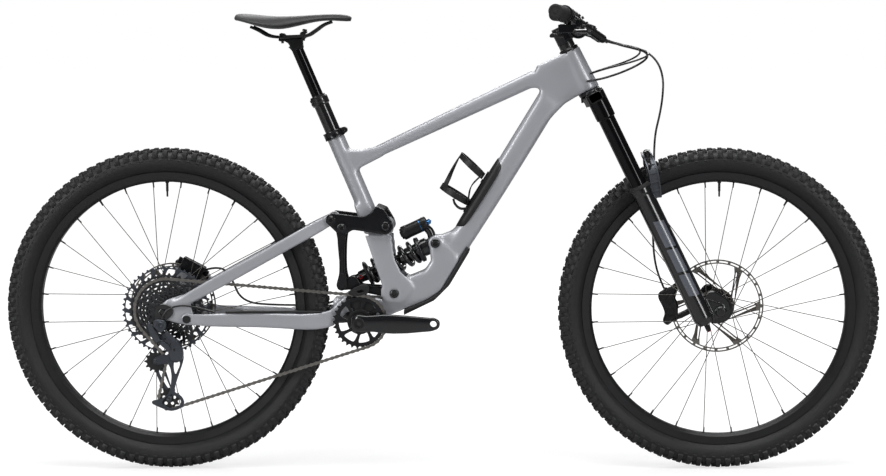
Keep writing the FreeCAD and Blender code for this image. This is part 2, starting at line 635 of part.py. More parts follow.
for side in (-1, 1):
    y = side * rail_half
    points = [Vector(tail + 38, y * 1.25, top - 36), Vector(tail + 60, y * 1.1, rail_z),
              Vector(clamp_at.x - 25, y, rail_z), Vector(clamp_at.x + 25, y, rail_z),
              Vector(clamp_at.x + 36, y * 0.9, rail_z), Vector(tail + 207, y * 0.5, top - 26)]
    for first, second in zip(points, points[1:]):
        rails.append(fuse([rod(first, second, "rail_radius"), ball(second, "rail_radius")]))
node("saddle_base", [base_shell, fuse(rails[:5]), fuse(rails[5:])], apart=True)

# ---------------------------------------------------------------- fork

leg_y = size("stanchion_half_span")
lean = size("leg_offset")
steerer_top = size("head_tube_length") + 4 + size("spacer_height") + size("stem_height")
steerer = rod(fork(2), fork(-steerer_top), "steerer_radius")
race_seat = rod(fork(12), fork(size("side_gap")), "head_tube_radius + 1", "head_bore + 2")
crown = plate(
    [
        (-leg_y, -19, 9), (-30, -25, 16), (30, -25, 16), (leg_y, -19, 9), (leg_y, 19, 9), (30, 26, 16),
        (-30, 26, 16), (-leg_y, 19, 9)],
    "-11", "11")
crown.Placement = Placement(fork(14, 0, lean / 2), Rotation(LATERAL, FORK_DOWN, FORK_FORE, "XYZ"))
fork_pieces = [steerer, race_seat, crown]
stanchion_top = 6
stanchion_foot = size("leg_end") - size("fork_travel") - 14
leg_floor = stanchion_foot + size("fork_travel") + 3
for side in (-leg_y, leg_y):
    fork_pieces.append(rod(fork(stanchion_top, side, lean), fork(stanchion_foot, side, lean),
                           "stanchion_radius"))
    fork_pieces.append(rod(fork(0, side, lean), fork(size("sleeve_end"), side, lean), "sleeve_radius"))
hollow = rod(fork(-steerer_top - 1), fork(-20), "steerer_radius - 2.5")
node("fork_upper", fork_pieces, [hollow])

slide = size("stanchion_radius") + size("running_gap")
seal = size("seal_start")
leg_end = size("leg_end")
leg_out = size("leg_radius")
legs = []
for side in (-leg_y, leg_y):
    legs.append(
        turned(
            [
                (slide, -seal), (leg_out + 1.5, -seal), (leg_out + 1.5, -seal - 14),
                (leg_out, -seal - 18), (leg_out, -leg_end + 14), (leg_out - 7, -leg_end), (0, -leg_end),
                (0, -leg_floor), (slide, -leg_floor)],
            fork(0, side, lean), FORK_DOWN * -1))
half_arch = [fork(seal + 22, leg_y - 4, lean + 18), fork(seal - 4, 64, 44), fork(seal - 34, 55, 48),
             fork(seal - 58, 22, 57)]
arch_points = half_arch + [Vector(point.x, -point.y, point.z) for point in reversed(half_arch)]
arch_pieces = []
for first, second in zip(arch_points, arch_points[1:]):
    arch_pieces.append(rod(first, second, "arch_radius"))
for point in arch_points[1:-1]:
    arch_pieces.append(ball(point, "arch_radius"))
LUG = [flat(fork(leg_end - 66, 0, lean + 12), 6), flat(FRONT + FORK_FORE * 15 - FORK_DOWN * 14, 12),
       flat(FRONT + FORK_FORE * 15 + FORK_DOWN * 14, 12), flat(fork(leg_end - 2, 0, lean + 6), 6),
       flat(fork(leg_end - 6, 0, lean - 4), 4), flat(fork(leg_end - 62, 0, lean - 4), 4)]
lugs = both(plate(LUG, "lug_half_gap", "lug_half_gap + lug_thickness"))
caliper_front = FRONT + Vector(-(size("front_rotor_radius") - 7), 0, 6)
mount_top = caliper_front + Vector(0, 0, 37)
mount_low = caliper_front + Vector(0, 0, -37)
tabs = []
for point in (mount_top, mount_low):
    foot = Vector(point.x, 62, point.z)
    tabs += [cross_rod(point, "52", "62", "7"), ball(foot, "7"),
             rod(foot, fork((point - RACE).dot(FORK_DOWN), leg_y - 10, lean), "7")]
bores = [cross_rod(FRONT, "-120", "120", "front_axle_radius")]
for side in (-leg_y, leg_y):
    bores.append(rod(fork(seal - 60, side, lean), fork(leg_floor, side, lean),
                     "stanchion_radius + running_gap"))
lowers = cut(fuse(legs + arch_pieces + lugs + tabs), bores)
axle = fuse([cross_rod(FRONT, "-lug_half_gap - lug_thickness - 4", "lug_half_gap + lug_thickness",
                       "front_axle_radius"),
             cross_rod(FRONT, "-lug_half_gap - lug_thickness - 4", "-lug_half_gap - lug_thickness", "11")])
node("fork_lowers", [lowers, axle], apart=True)

node("rebound_knob", [rod(fork(leg_end + 0.3, -leg_y, lean), fork(leg_end + 16, -leg_y, lean), "6"),
                      rod(fork(leg_end + 16, -leg_y, lean), fork(leg_end + 22, -leg_y, lean), "6", "4")])
node("compression_dial", [rod(fork(stanchion_top - 6.3, -leg_y, lean), fork(-12, -leg_y, lean), "15",
                              "12")])
air_cap = rod(fork(0, leg_y, lean), fork(-8, leg_y, lean), "14", "11")


FRONT_HOSE_END = (FRONT + Vector(-136, 47, 68), FRONT + Vector(-124, 48, 41))
REAR_HOSE_START = (REAR + Vector(105, 54, 91), REAR + Vector(79, 55, 84))


def caliper(label, centre, outward, seat, tabs_at, tab_y, hose_run):
    """A brake caliper round the rotor's edge, with two pads and the stub for the hose's last run."""
    tall = Vector(-outward.z, 0, outward.x)
    middle = Vector(centre.x, seat + size("rotor_thickness") / 2, centre.z)
    body = block(middle + outward * 4, "34", "24", "56", outward)
    ears = [rod(Vector(point.x, middle.y + 6, point.z), Vector(point.x, tab_y, point.z), "6.5")
            for point in tabs_at]
    arm = block(middle + outward * 8 + LATERAL * 5.7, "14", "7.6", "78", outward)
    slot = block(middle - outward * 10, "40", "rotor_thickness + 10", "60", outward)
    pads = []
    for side in (-1, 1):
        pads.append(block(middle + LATERAL * side * (size("rotor_thickness") / 2 + 2.7) - outward, "20",
                          "4.6",
                          "30", outward))
    whole = cut(fuse([body, arm] + ears), [slot])
    bridge = block(middle + outward * 17, "8", "24", "40", outward)
    inward = (hose_run[1] - hose_run[0]).normalize()
    stub = rod(hose_run[1] + inward * 0.02, hose_run[1] + inward * 14, "hose_radius + 1.7")
    node(label, [fuse([whole, bridge, stub])] + pads, apart=True)


caliper(
    "front_caliper", caliper_front, Vector(-1, 0, 0), size("front_rotor_seat"), (mount_top, mount_low),
    52, FRONT_HOSE_END)

# ---------------------------------------------------------------- cockpit

stem_low = size("head_tube_length") + 4 + size("spacer_height")
stem_mid = stem_low + size("stem_height") / 2
bar_at = fork(-stem_mid, 0, size("stem_reach"))
spacer = turned([(size("steerer_radius"), size("head_tube_length") + 4.3),
                 (size("steerer_radius") + 4, size("head_tube_length") + 4.3),
                 (size("steerer_radius") + 4, stem_low), (size("steerer_radius"), stem_low)],
                fork(0), FORK_DOWN * -1)
top_cap = rod(fork(-steerer_top), fork(-steerer_top - 5), "steerer_radius + 3")
stem_hub = rod(fork(-stem_low), fork(-steerer_top), "steerer_radius + 4.5")
stem_arm = block(fork(-stem_mid, 0, size("stem_reach") / 2), "stem_reach", "42", "26", FORK_FORE)
stem_clamp = cross_rod(bar_at, "-26", "26", "clamp_radius + 5")
node("stem", [stem_hub, stem_arm, stem_clamp],
     [rod(fork(-stem_low + 5), fork(-steerer_top - 5), "steerer_radius"),
      cross_rod(bar_at, "-60", "60", "clamp_radius"),
      block(bar_at + FORK_FORE * 14, "40", "18", "60", FORK_FORE)])
stem_bolts = []
for side in (-18, 18):
    for rise in (-1, 1):
        spot = bar_at + FORK_FORE * 14 + FORK_DOWN * (rise * 18.5) + LATERAL * side
        stem_bolts.append(rod(spot + FORK_FORE * 4, spot + FORK_FORE * 9, "3.5"))
node("steering_hardware", stem_bolts + [top_cap, spacer, air_cap], apart=True)

bar_half = size("bar_half_width")
rise = size("bar_rise")
bend_in = bar_at + LATERAL * 60
bend_out = bar_at + Vector(-11, 150, rise)
bar_end = bar_at + Vector(-53, bar_half, rise + 6)
GRIP_LINE = (bar_end - bend_out).normalize()


def on_bar(from_end):
    """A place on the bar's left outer run, measured in from its end."""
    return bar_end - GRIP_LINE * from_end


def flip(place):
    return Vector(place.x, -place.y, place.z)


left_bar = [rod(bend_in, bend_out, "clamp_radius", "bar_radius"), ball(bend_out, "bar_radius"),
            rod(bend_out, bar_end, "bar_radius")]
bar = [cross_rod(bar_at, "-60", "60", "clamp_radius")]
for piece in left_bar:
    bar += both(piece)
node("handlebar", bar)
grip = size("grip_length")
grip_tube = cut(
    rod(on_bar(grip), on_bar(-3), "grip_radius"), [rod(on_bar(grip + 5), on_bar(0), "bar_radius")])
grip_ring = cut(rod(on_bar(grip + 8), on_bar(grip), "grip_radius + 1"),
                [rod(on_bar(grip + 12), on_bar(grip - 5), "bar_radius")])
node("grips", both(grip_tube) + both(grip_ring), apart=True)


CYLINDER_RADIUS = 9.5


def lever_set():
    """The left brake's master cylinder with its clamp; the right one is its mirror."""
    here = on_bar(grip + 24)
    ring = cut(rod(on_bar(grip + 31), on_bar(grip + 17), "bar_radius + 5"),
               [rod(on_bar(grip + 40), on_bar(grip + 8), "bar_radius")])
    body_in = on_bar(grip + 100) + Vector(66, 0, -51)
    body_out = on_bar(grip + 14) + Vector(28, 0, -18)
    cylinder = rod(body_in, body_out, str(CYLINDER_RADIUS))
    bridge = rod(here + Vector(12, 0, -7), here + Vector(30, -8, -20), "7")
    return [ring, cylinder, bridge, ball(body_in, str(CYLINDER_RADIUS))], body_in, body_out


master, master_in, master_out = lever_set()
whole_master = cut(fuse(master), [rod(on_bar(grip + 60), on_bar(grip - 4), "bar_radius")])
pivot_at = master_out + Vector(10, 4, -13)
blade = [rod(pivot_at - Vector(0, 0, 6), pivot_at + Vector(0, 0, 3), "6"),
         rod(pivot_at, pivot_at + Vector(2, 42, -6), "lever_radius"),
         ball(pivot_at + Vector(2, 42, -6), "lever_radius"),
         rod(pivot_at + Vector(2, 42, -6), pivot_at + Vector(-22, 92, -6), "lever_radius", "4"),
         ball(pivot_at + Vector(-22, 92, -6), "4.4")]
left_lever = fuse(blade)
node("brake_lever_left", [left_lever])
node("brake_lever_right", [mirrored(left_lever)])

shifter_at = flip(on_bar(grip + 48)) + Vector(-4, 0, -27)
remote_at = on_bar(grip + 48) + Vector(-4, 0, -25)
clamp_ring = cut(rod(on_bar(grip + 54), on_bar(grip + 42), "bar_radius + 4"),
                 [rod(on_bar(grip + 60), on_bar(grip + 36), "bar_radius")])
shifter_body = block(shifter_at + Vector(0, 0, -3), "40", "30", "18")
shifter_neck = rod(flip(on_bar(grip + 48)) + Vector(0, 0, -14), shifter_at + Vector(0, 0, 4), "6")
remote_body = block(remote_at, "30", "24", "16")
remote_neck = rod(on_bar(grip + 48) + Vector(0, 0, -14), remote_at + Vector(0, 0, 4), "6")
node("control_clamps", both(whole_master) + [fuse([mirrored(clamp_ring), shifter_neck, shifter_body]),
                                             fuse([clamp_ring, remote_neck, remote_body])], apart=True)
paddle_at = shifter_at + Vector(-14, -8, -16)
node("shift_paddle", [rod(paddle_at + Vector(0, 0, 3.7), paddle_at, "6"),
                      rod(paddle_at + Vector(0, 0, -1), paddle_at + Vector(-18, -26, -4), "4"),
                      ball(paddle_at + Vector(-18, -26, -4), "6")])
remote_pivot = remote_at + Vector(-8, 6, -12)
node("dropper_lever", [rod(remote_pivot + Vector(0, 0, 3.7), remote_pivot, "5.5"),
                       rod(remote_pivot, remote_pivot + Vector(-16, 30, -4), "3.5"),
                       ball(remote_pivot + Vector(-16, 30, -4), "6.5")])

# ---------------------------------------------------------------- rear suspension

stay_low = size("dropout_inner") + size("dropout_thickness") + size("side_gap")
stay_mid = stay_low + size("stay_end_thickness") / 2
ear = plate(
    [
        near(MAIN, -13, 9, 6), near(MAIN, -26, 24, 8), near(MAIN, -46, 21, 8), near(MAIN, -88, -21, 12),
        near(MAIN, -88, -56, 4), near(MAIN, -66, -44, 20), near(MAIN, -44, -20, 10),
        near(MAIN, -13, -11, 6)],
    "ear_inner", "ear_inner + ear_thickness")
ear_disc = cross_rod(MAIN, "ear_inner", "ear_inner + ear_thickness", "ear_radius")


def stay_run(side):
    """The chainstay's long run on one side (1 left, -1 right)."""
    sections = (
        (MAIN + Vector(-72, side * 39, -31), 0.1, 12, 38),
        (MAIN + Vector(-122, side * 47, -40), 0.16, 15, 38),
        (MAIN + Vector(-222, side * 60, -36), 0.15, 14, 34),
        (MAIN + Vector(-322, side * 75, -33.5), 0.15, 13, 31),
        (MAIN + Vector(-366, side * stay_mid, -32), 0.05, 9, 28),
        (HORST + Vector(4, side * stay_mid, 0), 0, 8.7, 27))
    return loft([(centre, Vector(-1, side * spread, 0), width, tall, 4) for centre, spread, width,
                 tall in sections])


stay_disc = cross_rod(HORST, str(stay_low), f"{stay_low} + stay_end_thickness", "stay_end_radius")
stay_bridge = block(MAIN + Vector(-60, 0, -6), "30", "2 * ear_inner + 6", "32")
stay_side = fuse([ear, ear_disc, stay_run(1), stay_disc])
holes = [cross_rod(MAIN, "-60", "60", "pivot_radius + running_gap"),
         cross_rod(HORST, "-100", "100", "bolt_radius + running_gap"),
         cross_rod(DROP_LOW, "-30", "30", "16")]
end_zone = [near(MAIN, -425, 60), near(MAIN, -425, -70), near(MAIN, -352, -70), near(MAIN, -352, 60)]
end_trims = both(plate(end_zone, "60", str(stay_low))) + both(
    plate(end_zone, f"{stay_low} + stay_end_thickness", "110"))
node("chainstay", both(stay_side) + [stay_bridge], holes + end_trims)
node("chainstay_guard", [loft([(MAIN + Vector(-100, -43.5, -18.5), Vector(-1, -0.14, 0), 12, 5, 2),
                               (MAIN + Vector(-222, -60, -16), Vector(-1, -0.15, 0), 12, 6, 2),
                               (MAIN + Vector(-318, -74.3, -15), Vector(-1, -0.15, 0), 11, 5, 2)])],
     [stay_run(-1)])

dropout_mid = size("dropout_inner") + size("dropout_thickness") / 2


def up_stay(along, side):
    return REAR + STAY_LINE * along + LATERAL * side


seatstay_loft = loft(
    [
        (up_stay(28, dropout_mid), STAY_LINE, 7.7, 27, 3), (up_stay(110, 74), STAY_LINE, 11, 28, 4),
        (up_stay(250, 58), STAY_LINE, 14, 29, 5), (up_stay(350, 46.5), STAY_LINE, 14, 29, 5),
        (up_stay(400, 35.5), STAY_LINE, 12, 28, 4), (up_stay(428, 31.75), STAY_LINE, 11.5, 25, 4)])
stay_eye = cross_rod(STAY_TOP, "26", "37.5", "ear_radius")
dropout = plate(
    [
        near(REAR, -16, 8, 12), near(REAR, 10, 30, 14), near(REAR, 48, 42, 8), near(REAR, 62, 26, 6),
        near(HORST, 14, 8, 10), near(HORST, 12, -13, 10), near(HORST, -12, -13, 8),
        near(REAR, 12, -20, 14), near(REAR, -18, -16, 12)],
    "dropout_inner", "dropout_inner + dropout_thickness")
stay_left = fuse([seatstay_loft, stay_eye, dropout])
brace = cross_rod(up_stay(398, 0), "-31", "31", "6")
caliper_rear = REAR + Vector(0.465, 0, 0.885) * (size("rear_rotor_radius") - 6)
rear_tall = Vector(-0.885, 0, 0.465)
rear_tabs = (caliper_rear + rear_tall * 37, caliper_rear - rear_tall * 37)
bracket = plate([flat(rear_tabs[0] + Vector(-8, 0, 2), 6), flat(rear_tabs[0] + Vector(6, 0, 9), 6),
                 flat(rear_tabs[1] + Vector(6, 0, 9), 6), flat(rear_tabs[1] + Vector(22, 0, -22), 6),
                 near(REAR, 40, 26, 6), near(REAR, -2, 24, 6)], "68", "dropout_inner + 3")
node("seatstay", [stay_left, mirrored(stay_left), brace, bracket],
     [cross_rod(REAR, "-100", "100", "rear_axle_radius"), cross_rod(HORST, "-100", "100", "bolt_radius"),
      cross_rod(STAY_TOP, "-60", "60", "bolt_radius + open_pivot_upper"),
      cross_rod(REAR, "-dropout_inner", "dropout_inner", "20")])
caliper("rear_caliper", caliper_rear, Vector(0.465, 0, 0.885), size("rear_rotor_seat"), rear_tabs, 68,
        REAR_HOSE_START)
axle = fuse([cross_rod(REAR, "-dropout_inner - dropout_thickness", "dropout_inner + dropout_thickness + 1",
                       "rear_axle_radius"),
             cross_rod(REAR, "dropout_inner + dropout_thickness",
                       "dropout_inner + dropout_thickness + 4", "10")])
horst_out = f"{stay_low} + stay_end_thickness + side_gap"
horst_bolt = fuse([cross_rod(HORST, "dropout_inner", f"{horst_out} + 1", "bolt_radius"),
                   cross_rod(HORST, horst_out, f"{horst_out} + 2.5", "9")])
node("rear_axle", [axle] + both(horst_bolt), apart=True)

rocker_side = plate(
    [
        flat(STAY_TOP + Vector(-10, 0, 8), 8), near(STAY_TOP, 2, 14.5, 8), near(ROCKER, -44, 21, 30),
        near(ROCKER, -29, 38, 8), near(ROCKER, -22, 47, 4), near(ROCKER, -2, 39, 6),
        near(ROCKER, 14, 12, 10), near(ROCKER, 19, -4, 14), near(ROCKER, 6, -20, 14),
        near(DROP_TOP, 24, -5, 16), near(DROP_TOP, 11, -14, 8), near(DROP_TOP, -12, -12, 8),
        near(STAY_TOP, -13, -6, 8)],
    "rocker_inner", "rocker_inner + rocker_thickness",
    ((ROCKER, "pivot_radius + running_gap"), (DROP_TOP, "bolt_radius"), (STAY_TOP, "bolt_radius")))
hood = plate([near(ROCKER, -23.5, 41, 2), near(ROCKER, -20, 47, 2), near(ROCKER, -2, 39, 4),
              near(ROCKER, -6, 30, 4), near(ROCKER, -18.5, 31, 4)], "-rocker_inner - 1", "rocker_inner + 1")
rocker = fuse(both(rocker_side) + [hood])
drop_pin = fuse([cross_rod(DROP_TOP, "link_inner + 1.5", "rocker_inner + rocker_thickness", "bolt_radius"),
                 cross_rod(DROP_TOP, "rocker_inner + rocker_thickness",
                           "rocker_inner + rocker_thickness + 2",
                           "8")])
stay_pin = fuse([cross_rod(STAY_TOP, "link_inner + 6", "rocker_inner + rocker_thickness", "bolt_radius"),
                 cross_rod(STAY_TOP, "rocker_inner + rocker_thickness",
                           "rocker_inner + rocker_thickness + 2",
                           "8")])
node("rocker_link", [rocker] + both(drop_pin) + both(stay_pin), apart=True)

leg_in = "link_inner + 1.5"
leg_out_y = "link_inner + link_thickness"
drop_leg = plate([near(DROP_TOP, -11, 0, 10), near(DROP_TOP, -8, 10, 8), near(DROP_TOP, 8, 10, 8),
                  near(DROP_TOP, 10, -6, 10), near(DROP_TOP, 6, -30, 30), near(DROP_LOW, 8, 34, 30),
                  near(DROP_LOW, 13, 2, 10), near(DROP_LOW, 6, -13, 10), near(DROP_LOW, -8, -13, 10),
                  near(DROP_LOW, -13, 0, 10), near(DROP_LOW, -8, 34, 30), near(DROP_TOP, -10, -30, 30)],
                 leg_in, leg_out_y,
                 ((DROP_TOP, "bolt_radius + running_gap"), (DROP_LOW, "bolt_radius")))
drop_bridge = block(DROP_LOW + Vector(-2, 0, 26), "11", "2 * link_inner + 4", "12")
low_pin = fuse([cross_rod(DROP_LOW, "-link_inner - link_thickness", "link_inner + link_thickness",
                          "bolt_radius")]
               + both(cross_rod(DROP_LOW, "link_inner + link_thickness",
                                "link_inner + link_thickness + 2", "8")))
node("drop_link", [fuse(both(drop_leg) + [drop_bridge]), low_pin], apart=True)

shock_arm = plate([near(LOWER, 10, 9, 9), near(LOWER, 12, -7, 9), near(LOWER, -4, -13, 10),
                   near(DROP_LOW, 16, -11, 12), near(DROP_LOW, -8, -13, 9), near(DROP_LOW, -13, 4, 9),
                   near(SHOCK_LOW, -12, 6, 9), near(SHOCK_LOW, 2, 13, 9), near(SHOCK_LOW, 12, 4, 8),
                   near(SHOCK_LOW, 20, -9, 12), near(LOWER, -10, 13, 9)],
                  "shock_eye_half + 0.5", "link_inner - 0.5",
                  ((LOWER, "pivot_radius + running_gap"), (DROP_LOW, "bolt_radius + open_pivot_lower"),
                   (SHOCK_LOW, "4")))
barrel = cross_rod(LOWER, "-ear_inner + side_gap", "ear_inner - side_gap", "ear_radius")
yoke = cut(fuse(both(shock_arm) + [barrel]), [cross_rod(LOWER, "-40", "40", "pivot_radius + running_gap")])
node("shock_link", [yoke, cross_rod(SHOCK_LOW, "-link_inner + 0.5", "link_inner - 0.5", "4")], apart=True)

perch_end = 45
body_end = 92
can_radius = size("spring_radius") - 2 * size("spring_wire") - 1.5
spring_end = SHOCK_LENGTH - 41
eye = cut(cross_rod(SHOCK_TOP, "-shock_eye_half", "shock_eye_half", "shock_eye_radius"),
          [cross_rod(SHOCK_TOP, "-20", "20", "bolt_radius + running_gap")])
collar_top = rod(shock(20), shock(perch_end), "shock_body_radius")
can = rod(shock(30), shock(body_end), str(can_radius))
neck_block = block(shock(12), "24", "2 * shock_eye_half", "26", SHOCK_DOWN)
perch = rod(shock(perch_end - 7), shock(perch_end), "spring_radius")
bridge = block(shock(24, 26), "30", "24", "40", SHOCK_DOWN)
reservoir = rod(shock(-1, 50), shock(66, 50), "16.5")
neck = rod(shock(body_end), shock(body_end + 12), "shock_shaft_radius + 5")
shaft_bore = rod(shock(30), shock(body_end + 40), "shock_shaft_radius + running_gap")
damper = cut(fuse([can, collar_top, neck_block, perch, bridge, reservoir, neck, eye]),
             [shaft_bore, cross_rod(SHOCK_TOP, "-20", "20", "bolt_radius + running_gap")])
node("shock_body", [damper, rod(shock(-1, 50), shock(-9, 50), "10", "8")], apart=True)
low_eye = cross_rod(SHOCK_LOW, "-shock_eye_half", "shock_eye_half", "shock_eye_radius - 2")
cup_low = rod(shock(spring_end), shock(spring_end + 6), "spring_radius")
collar_low = rod(shock(spring_end), shock(spring_end + 25), "14", "11")
shaft = rod(shock(body_end + 2), shock(SHOCK_LENGTH - 8), "shock_shaft_radius")
node("shock_shaft", [cut(fuse([shaft, low_eye, cup_low, collar_low]),
                         [cross_rod(SHOCK_LOW, "-20", "20", "4 + open_pivot_shock")])])
coil_length = spring_end - perch_end - 2 * size("spring_wire") - 0.6
pitch = coil_length / size("spring_turns")
helix = Part.makeHelix(pitch, coil_length, size("spring_radius") - size("spring_wire") - 0.5)
profile = Part.Wire([Part.makeCircle(size("spring_wire"),
                                     Vector(size("spring_radius") - size("spring_wire") - 0.5, 0, 0),
                                     Vector(0, 1, 0))])
coil = new("Part::Feature", "coil")
coil.Shape = Part.Wire(helix.Edges).makePipeShell([profile], True, True)
coil.Placement = Placement(
    shock(perch_end + size("spring_wire") + 0.3), Rotation(Vector(0, 0, 1), SHOCK_DOWN))
node("shock_spring", [coil])

# ---------------------------------------------------------------- drivetrain

def pitch_radius(teeth):
    return size("chain_pitch") / 2 / math.sin(math.pi / teeth)


def toothed(anchor, teeth, line, root_drop=4.2, tip_rise=2.0):
    """A toothed disc for the chain, centred on y = -line."""
    radius = pitch_radius(teeth)
    root = radius - root_drop
    tip = radius + tip_rise
    step = 2 * math.pi / teeth
    outline = []
    for index in range(teeth):
        middle = (index + 0.5) * step
        for share, reach in ((-0.30, root), (-0.10, tip), (0.10, tip), (0.30, root)):
            angle = middle + share * step
            outline.append((anchor.x + reach * math.cos(angle), anchor.z + reach * math.sin(angle)))
    return plate([(x, z, 0.0) for x, z in outline], f"-({line}) - tooth_half", f"-({line}) + tooth_half")


ring_teeth = int(size("ring_teeth"))
cog_teeth = int(size("cog_teeth"))
pulley_teeth = int(size("pulley_teeth"))
ring_teeth_disc = toothed(BB, ring_teeth, "ring_line")
ring_web = cross_rod(BB, "-ring_line - 1.7", "-ring_line + 1.7", str(pitch_radius(ring_teeth) - 5.6))
windows = []
for index in range(5):
    middle = math.radians(72 * index - 54)
    inside = 30
    outside = pitch_radius(ring_teeth) - 11
    corners = []
    for reach, spread in ((outside, 26), (outside, -26), (inside, -15), (inside, 15)):
        angle = middle + math.radians(spread)
        corners.append((BB.x + reach * math.cos(angle), BB.z + reach * math.sin(angle), 4))
    windows.append(plate(corners, "-ring_line - 4", "-ring_line + 4"))
HUB_RADIUS = 20
node("chainring", [ring_teeth_disc, ring_web], windows + [cross_rod(BB, "-80", "-30", str(HUB_RADIUS))])

PEDAL = Vector(math.cos(math.radians(-0.7)), 0, math.sin(math.radians(-0.7))) * size("crank_length")
arms = []
for side, reach in ((-1, PEDAL), (1, PEDAL * -1)):
    tip = BB + reach
    way = Vector(reach).normalize()
    rise = Vector(-way.z, 0, way.x)
    low, high = ("-crank_inner - crank_thickness", "-crank_inner") if side < 0 else (
        "crank_inner", "crank_inner + crank_thickness")
    outline = [flat(BB - way * 19 - rise * 17.5, 16), flat(BB - way * 19 + rise * 17.5, 16),
               flat(BB + way * 60 + rise * 18.5, 60), flat(tip + way * 15 + rise * 14, 13),
               flat(tip + way * 15 - rise * 14, 13), flat(BB + way * 60 - rise * 19, 60)]
    arms.append(plate(outline, low, high, ((tip, "pedal_hole_radius"),)))
crank_axle = cross_rod(BB, "-crank_inner - 4", "crank_inner + crank_thickness - 4", "spindle_radius")
ring_boss = cross_rod(BB, "-crank_inner", "-ring_line + 3", str(HUB_RADIUS))
right_arm = cut(fuse([arms[0], ring_boss]), [crank_axle])
left_arm = cut(arms[1], [crank_axle])
preload = cut(cross_rod(BB, "crank_inner - 9", "crank_inner", "21"), [crank_axle])
node("crank_arms", [right_arm, left_arm, preload, crank_axle], apart=True)

COGS = (10, 12, 14, 16, 18, 21, 24, 28, 32, 36, 42, 50)
pitch_step = size("cog_pitch")
thick = size("cog_thickness")
first_line = -size("largest_cog_line")
hub_end = -(size("rear_hub_half") - 0.1)
core = size("hub_waist") - 1 + size("running_gap")
profile = [(core, first_line)]
for index, teeth in enumerate(reversed(COGS)):
    face = first_line - index * pitch_step
    radius = pitch_radius(teeth) + 1.5
    spacer = min(radius - 5, pitch_radius(COGS[max(0, len(COGS) - 2 - index)]) - 6)
    profile += [(radius, face), (radius, face - thick)]
    if index < len(COGS) - 1:
        profile += [(max(spacer, core + 2), face - thick), (max(spacer, core + 2), face - pitch_step)]
profile += [(core + 2, first_line - (len(COGS) - 1) * pitch_step - thick),
            (core + 2, hub_end), (core, hub_end)]
cog_index = COGS.index(cog_teeth)
cog_y = first_line - (len(COGS) - 1 - cog_index) * pitch_step - thick / 2
node("cassette", [turned(profile, REAR)])


def pulley(label, centre):
    wheel_disc = toothed(centre, pulley_teeth, "cog_line")
    node(label, [wheel_disc, cross_rod(centre, "-cog_line - 2.6", "-cog_line + 2.6", "9")],
         [cross_rod(centre, "-60", "-20", "2.5 + running_gap")])


pulley("guide_pulley", GUIDE_PULLEY)
pulley("tension_pulley", TENSION_PULLEY)


def cage_side(low, high):
    away = (TENSION_PULLEY - GUIDE_PULLEY).normalize()
    across = Vector(-away.z, 0, away.x)
    return plate(
        [
            flat(GUIDE_PULLEY - away * 10 + across * 9, 7),
            flat(GUIDE_PULLEY - away * 10 - across * 9, 7),
            flat(TENSION_PULLEY + away * 10 - across * 9, 7),
            flat(TENSION_PULLEY + away * 10 + across * 9, 7),
            flat(CAGE_PIVOT + away * 14 + across * 12, 8), flat(CAGE_PIVOT - away * 11 + across * 12, 8)
        ],
        low, high)


cage_pins = [cross_rod(point, "-cog_line - 5.1", "-cog_line + 5.1", "2.5")
             for point in (GUIDE_PULLEY, TENSION_PULLEY)]
cage_hub = cross_rod(CAGE_PIVOT, "-cog_line - 12", "-cog_line - 3.1", "13")
node("derailleur_cage", [cage_side("-cog_line - 5.1", "-cog_line - 3.1"), cage_side("-cog_line + 3.1",
                         "-cog_line + 5.1"), cage_hub] + cage_pins)
arm_top = Vector(KNUCKLE.x, -(size("dropout_inner") + size("dropout_thickness") + 11), KNUCKLE.z)
arm_foot = Vector(CAGE_PIVOT.x, -size("cog_line") - 21, CAGE_PIVOT.z)
knuckle_low = arm_top + Vector(4, 0, -20)
SHIFT_AXIS = Vector(0.935, 0, 0.354).normalize()
shift_pin = rod(arm_top - SHIFT_AXIS * 21, arm_top + SHIFT_AXIS * 21, "shift_pin_radius")
node("derailleur_knuckle", [cross_rod(KNUCKLE, "-dropout_inner - dropout_thickness - 18",
                                      "-dropout_inner - dropout_thickness", "12"),
                            rod(arm_top, knuckle_low, "8"), shift_pin,
                            rod(arm_top, arm_top + Vector(4, 0, 14), "4.5")])
arm_start = knuckle_low + (arm_foot - knuckle_low).normalize() * 9.5
EAR = SHIFT_AXIS * 16.5
EAR_HALF = SHIFT_AXIS * 3.3
ear_parts = [rod(arm_start - EAR, arm_start + EAR, "4")]
for reach in (EAR * -1, EAR):
    ear_parts.append(rod(arm_top + reach - EAR_HALF, arm_top + reach + EAR_HALF, "shift_pin_radius + 3"))
    ear_parts.append(rod(arm_top + reach, arm_start + reach, "3"))
pin_hole = rod(arm_top - SHIFT_AXIS * 30, arm_top + SHIFT_AXIS * 30, "shift_pin_radius + running_gap")
node("derailleur_arm", [rod(arm_start, arm_foot, "9", "10"),
                        cross_rod(CAGE_PIVOT, "-cog_line - 27", "-cog_line - 12.3", "13.5")] + ear_parts,
     [pin_hole])


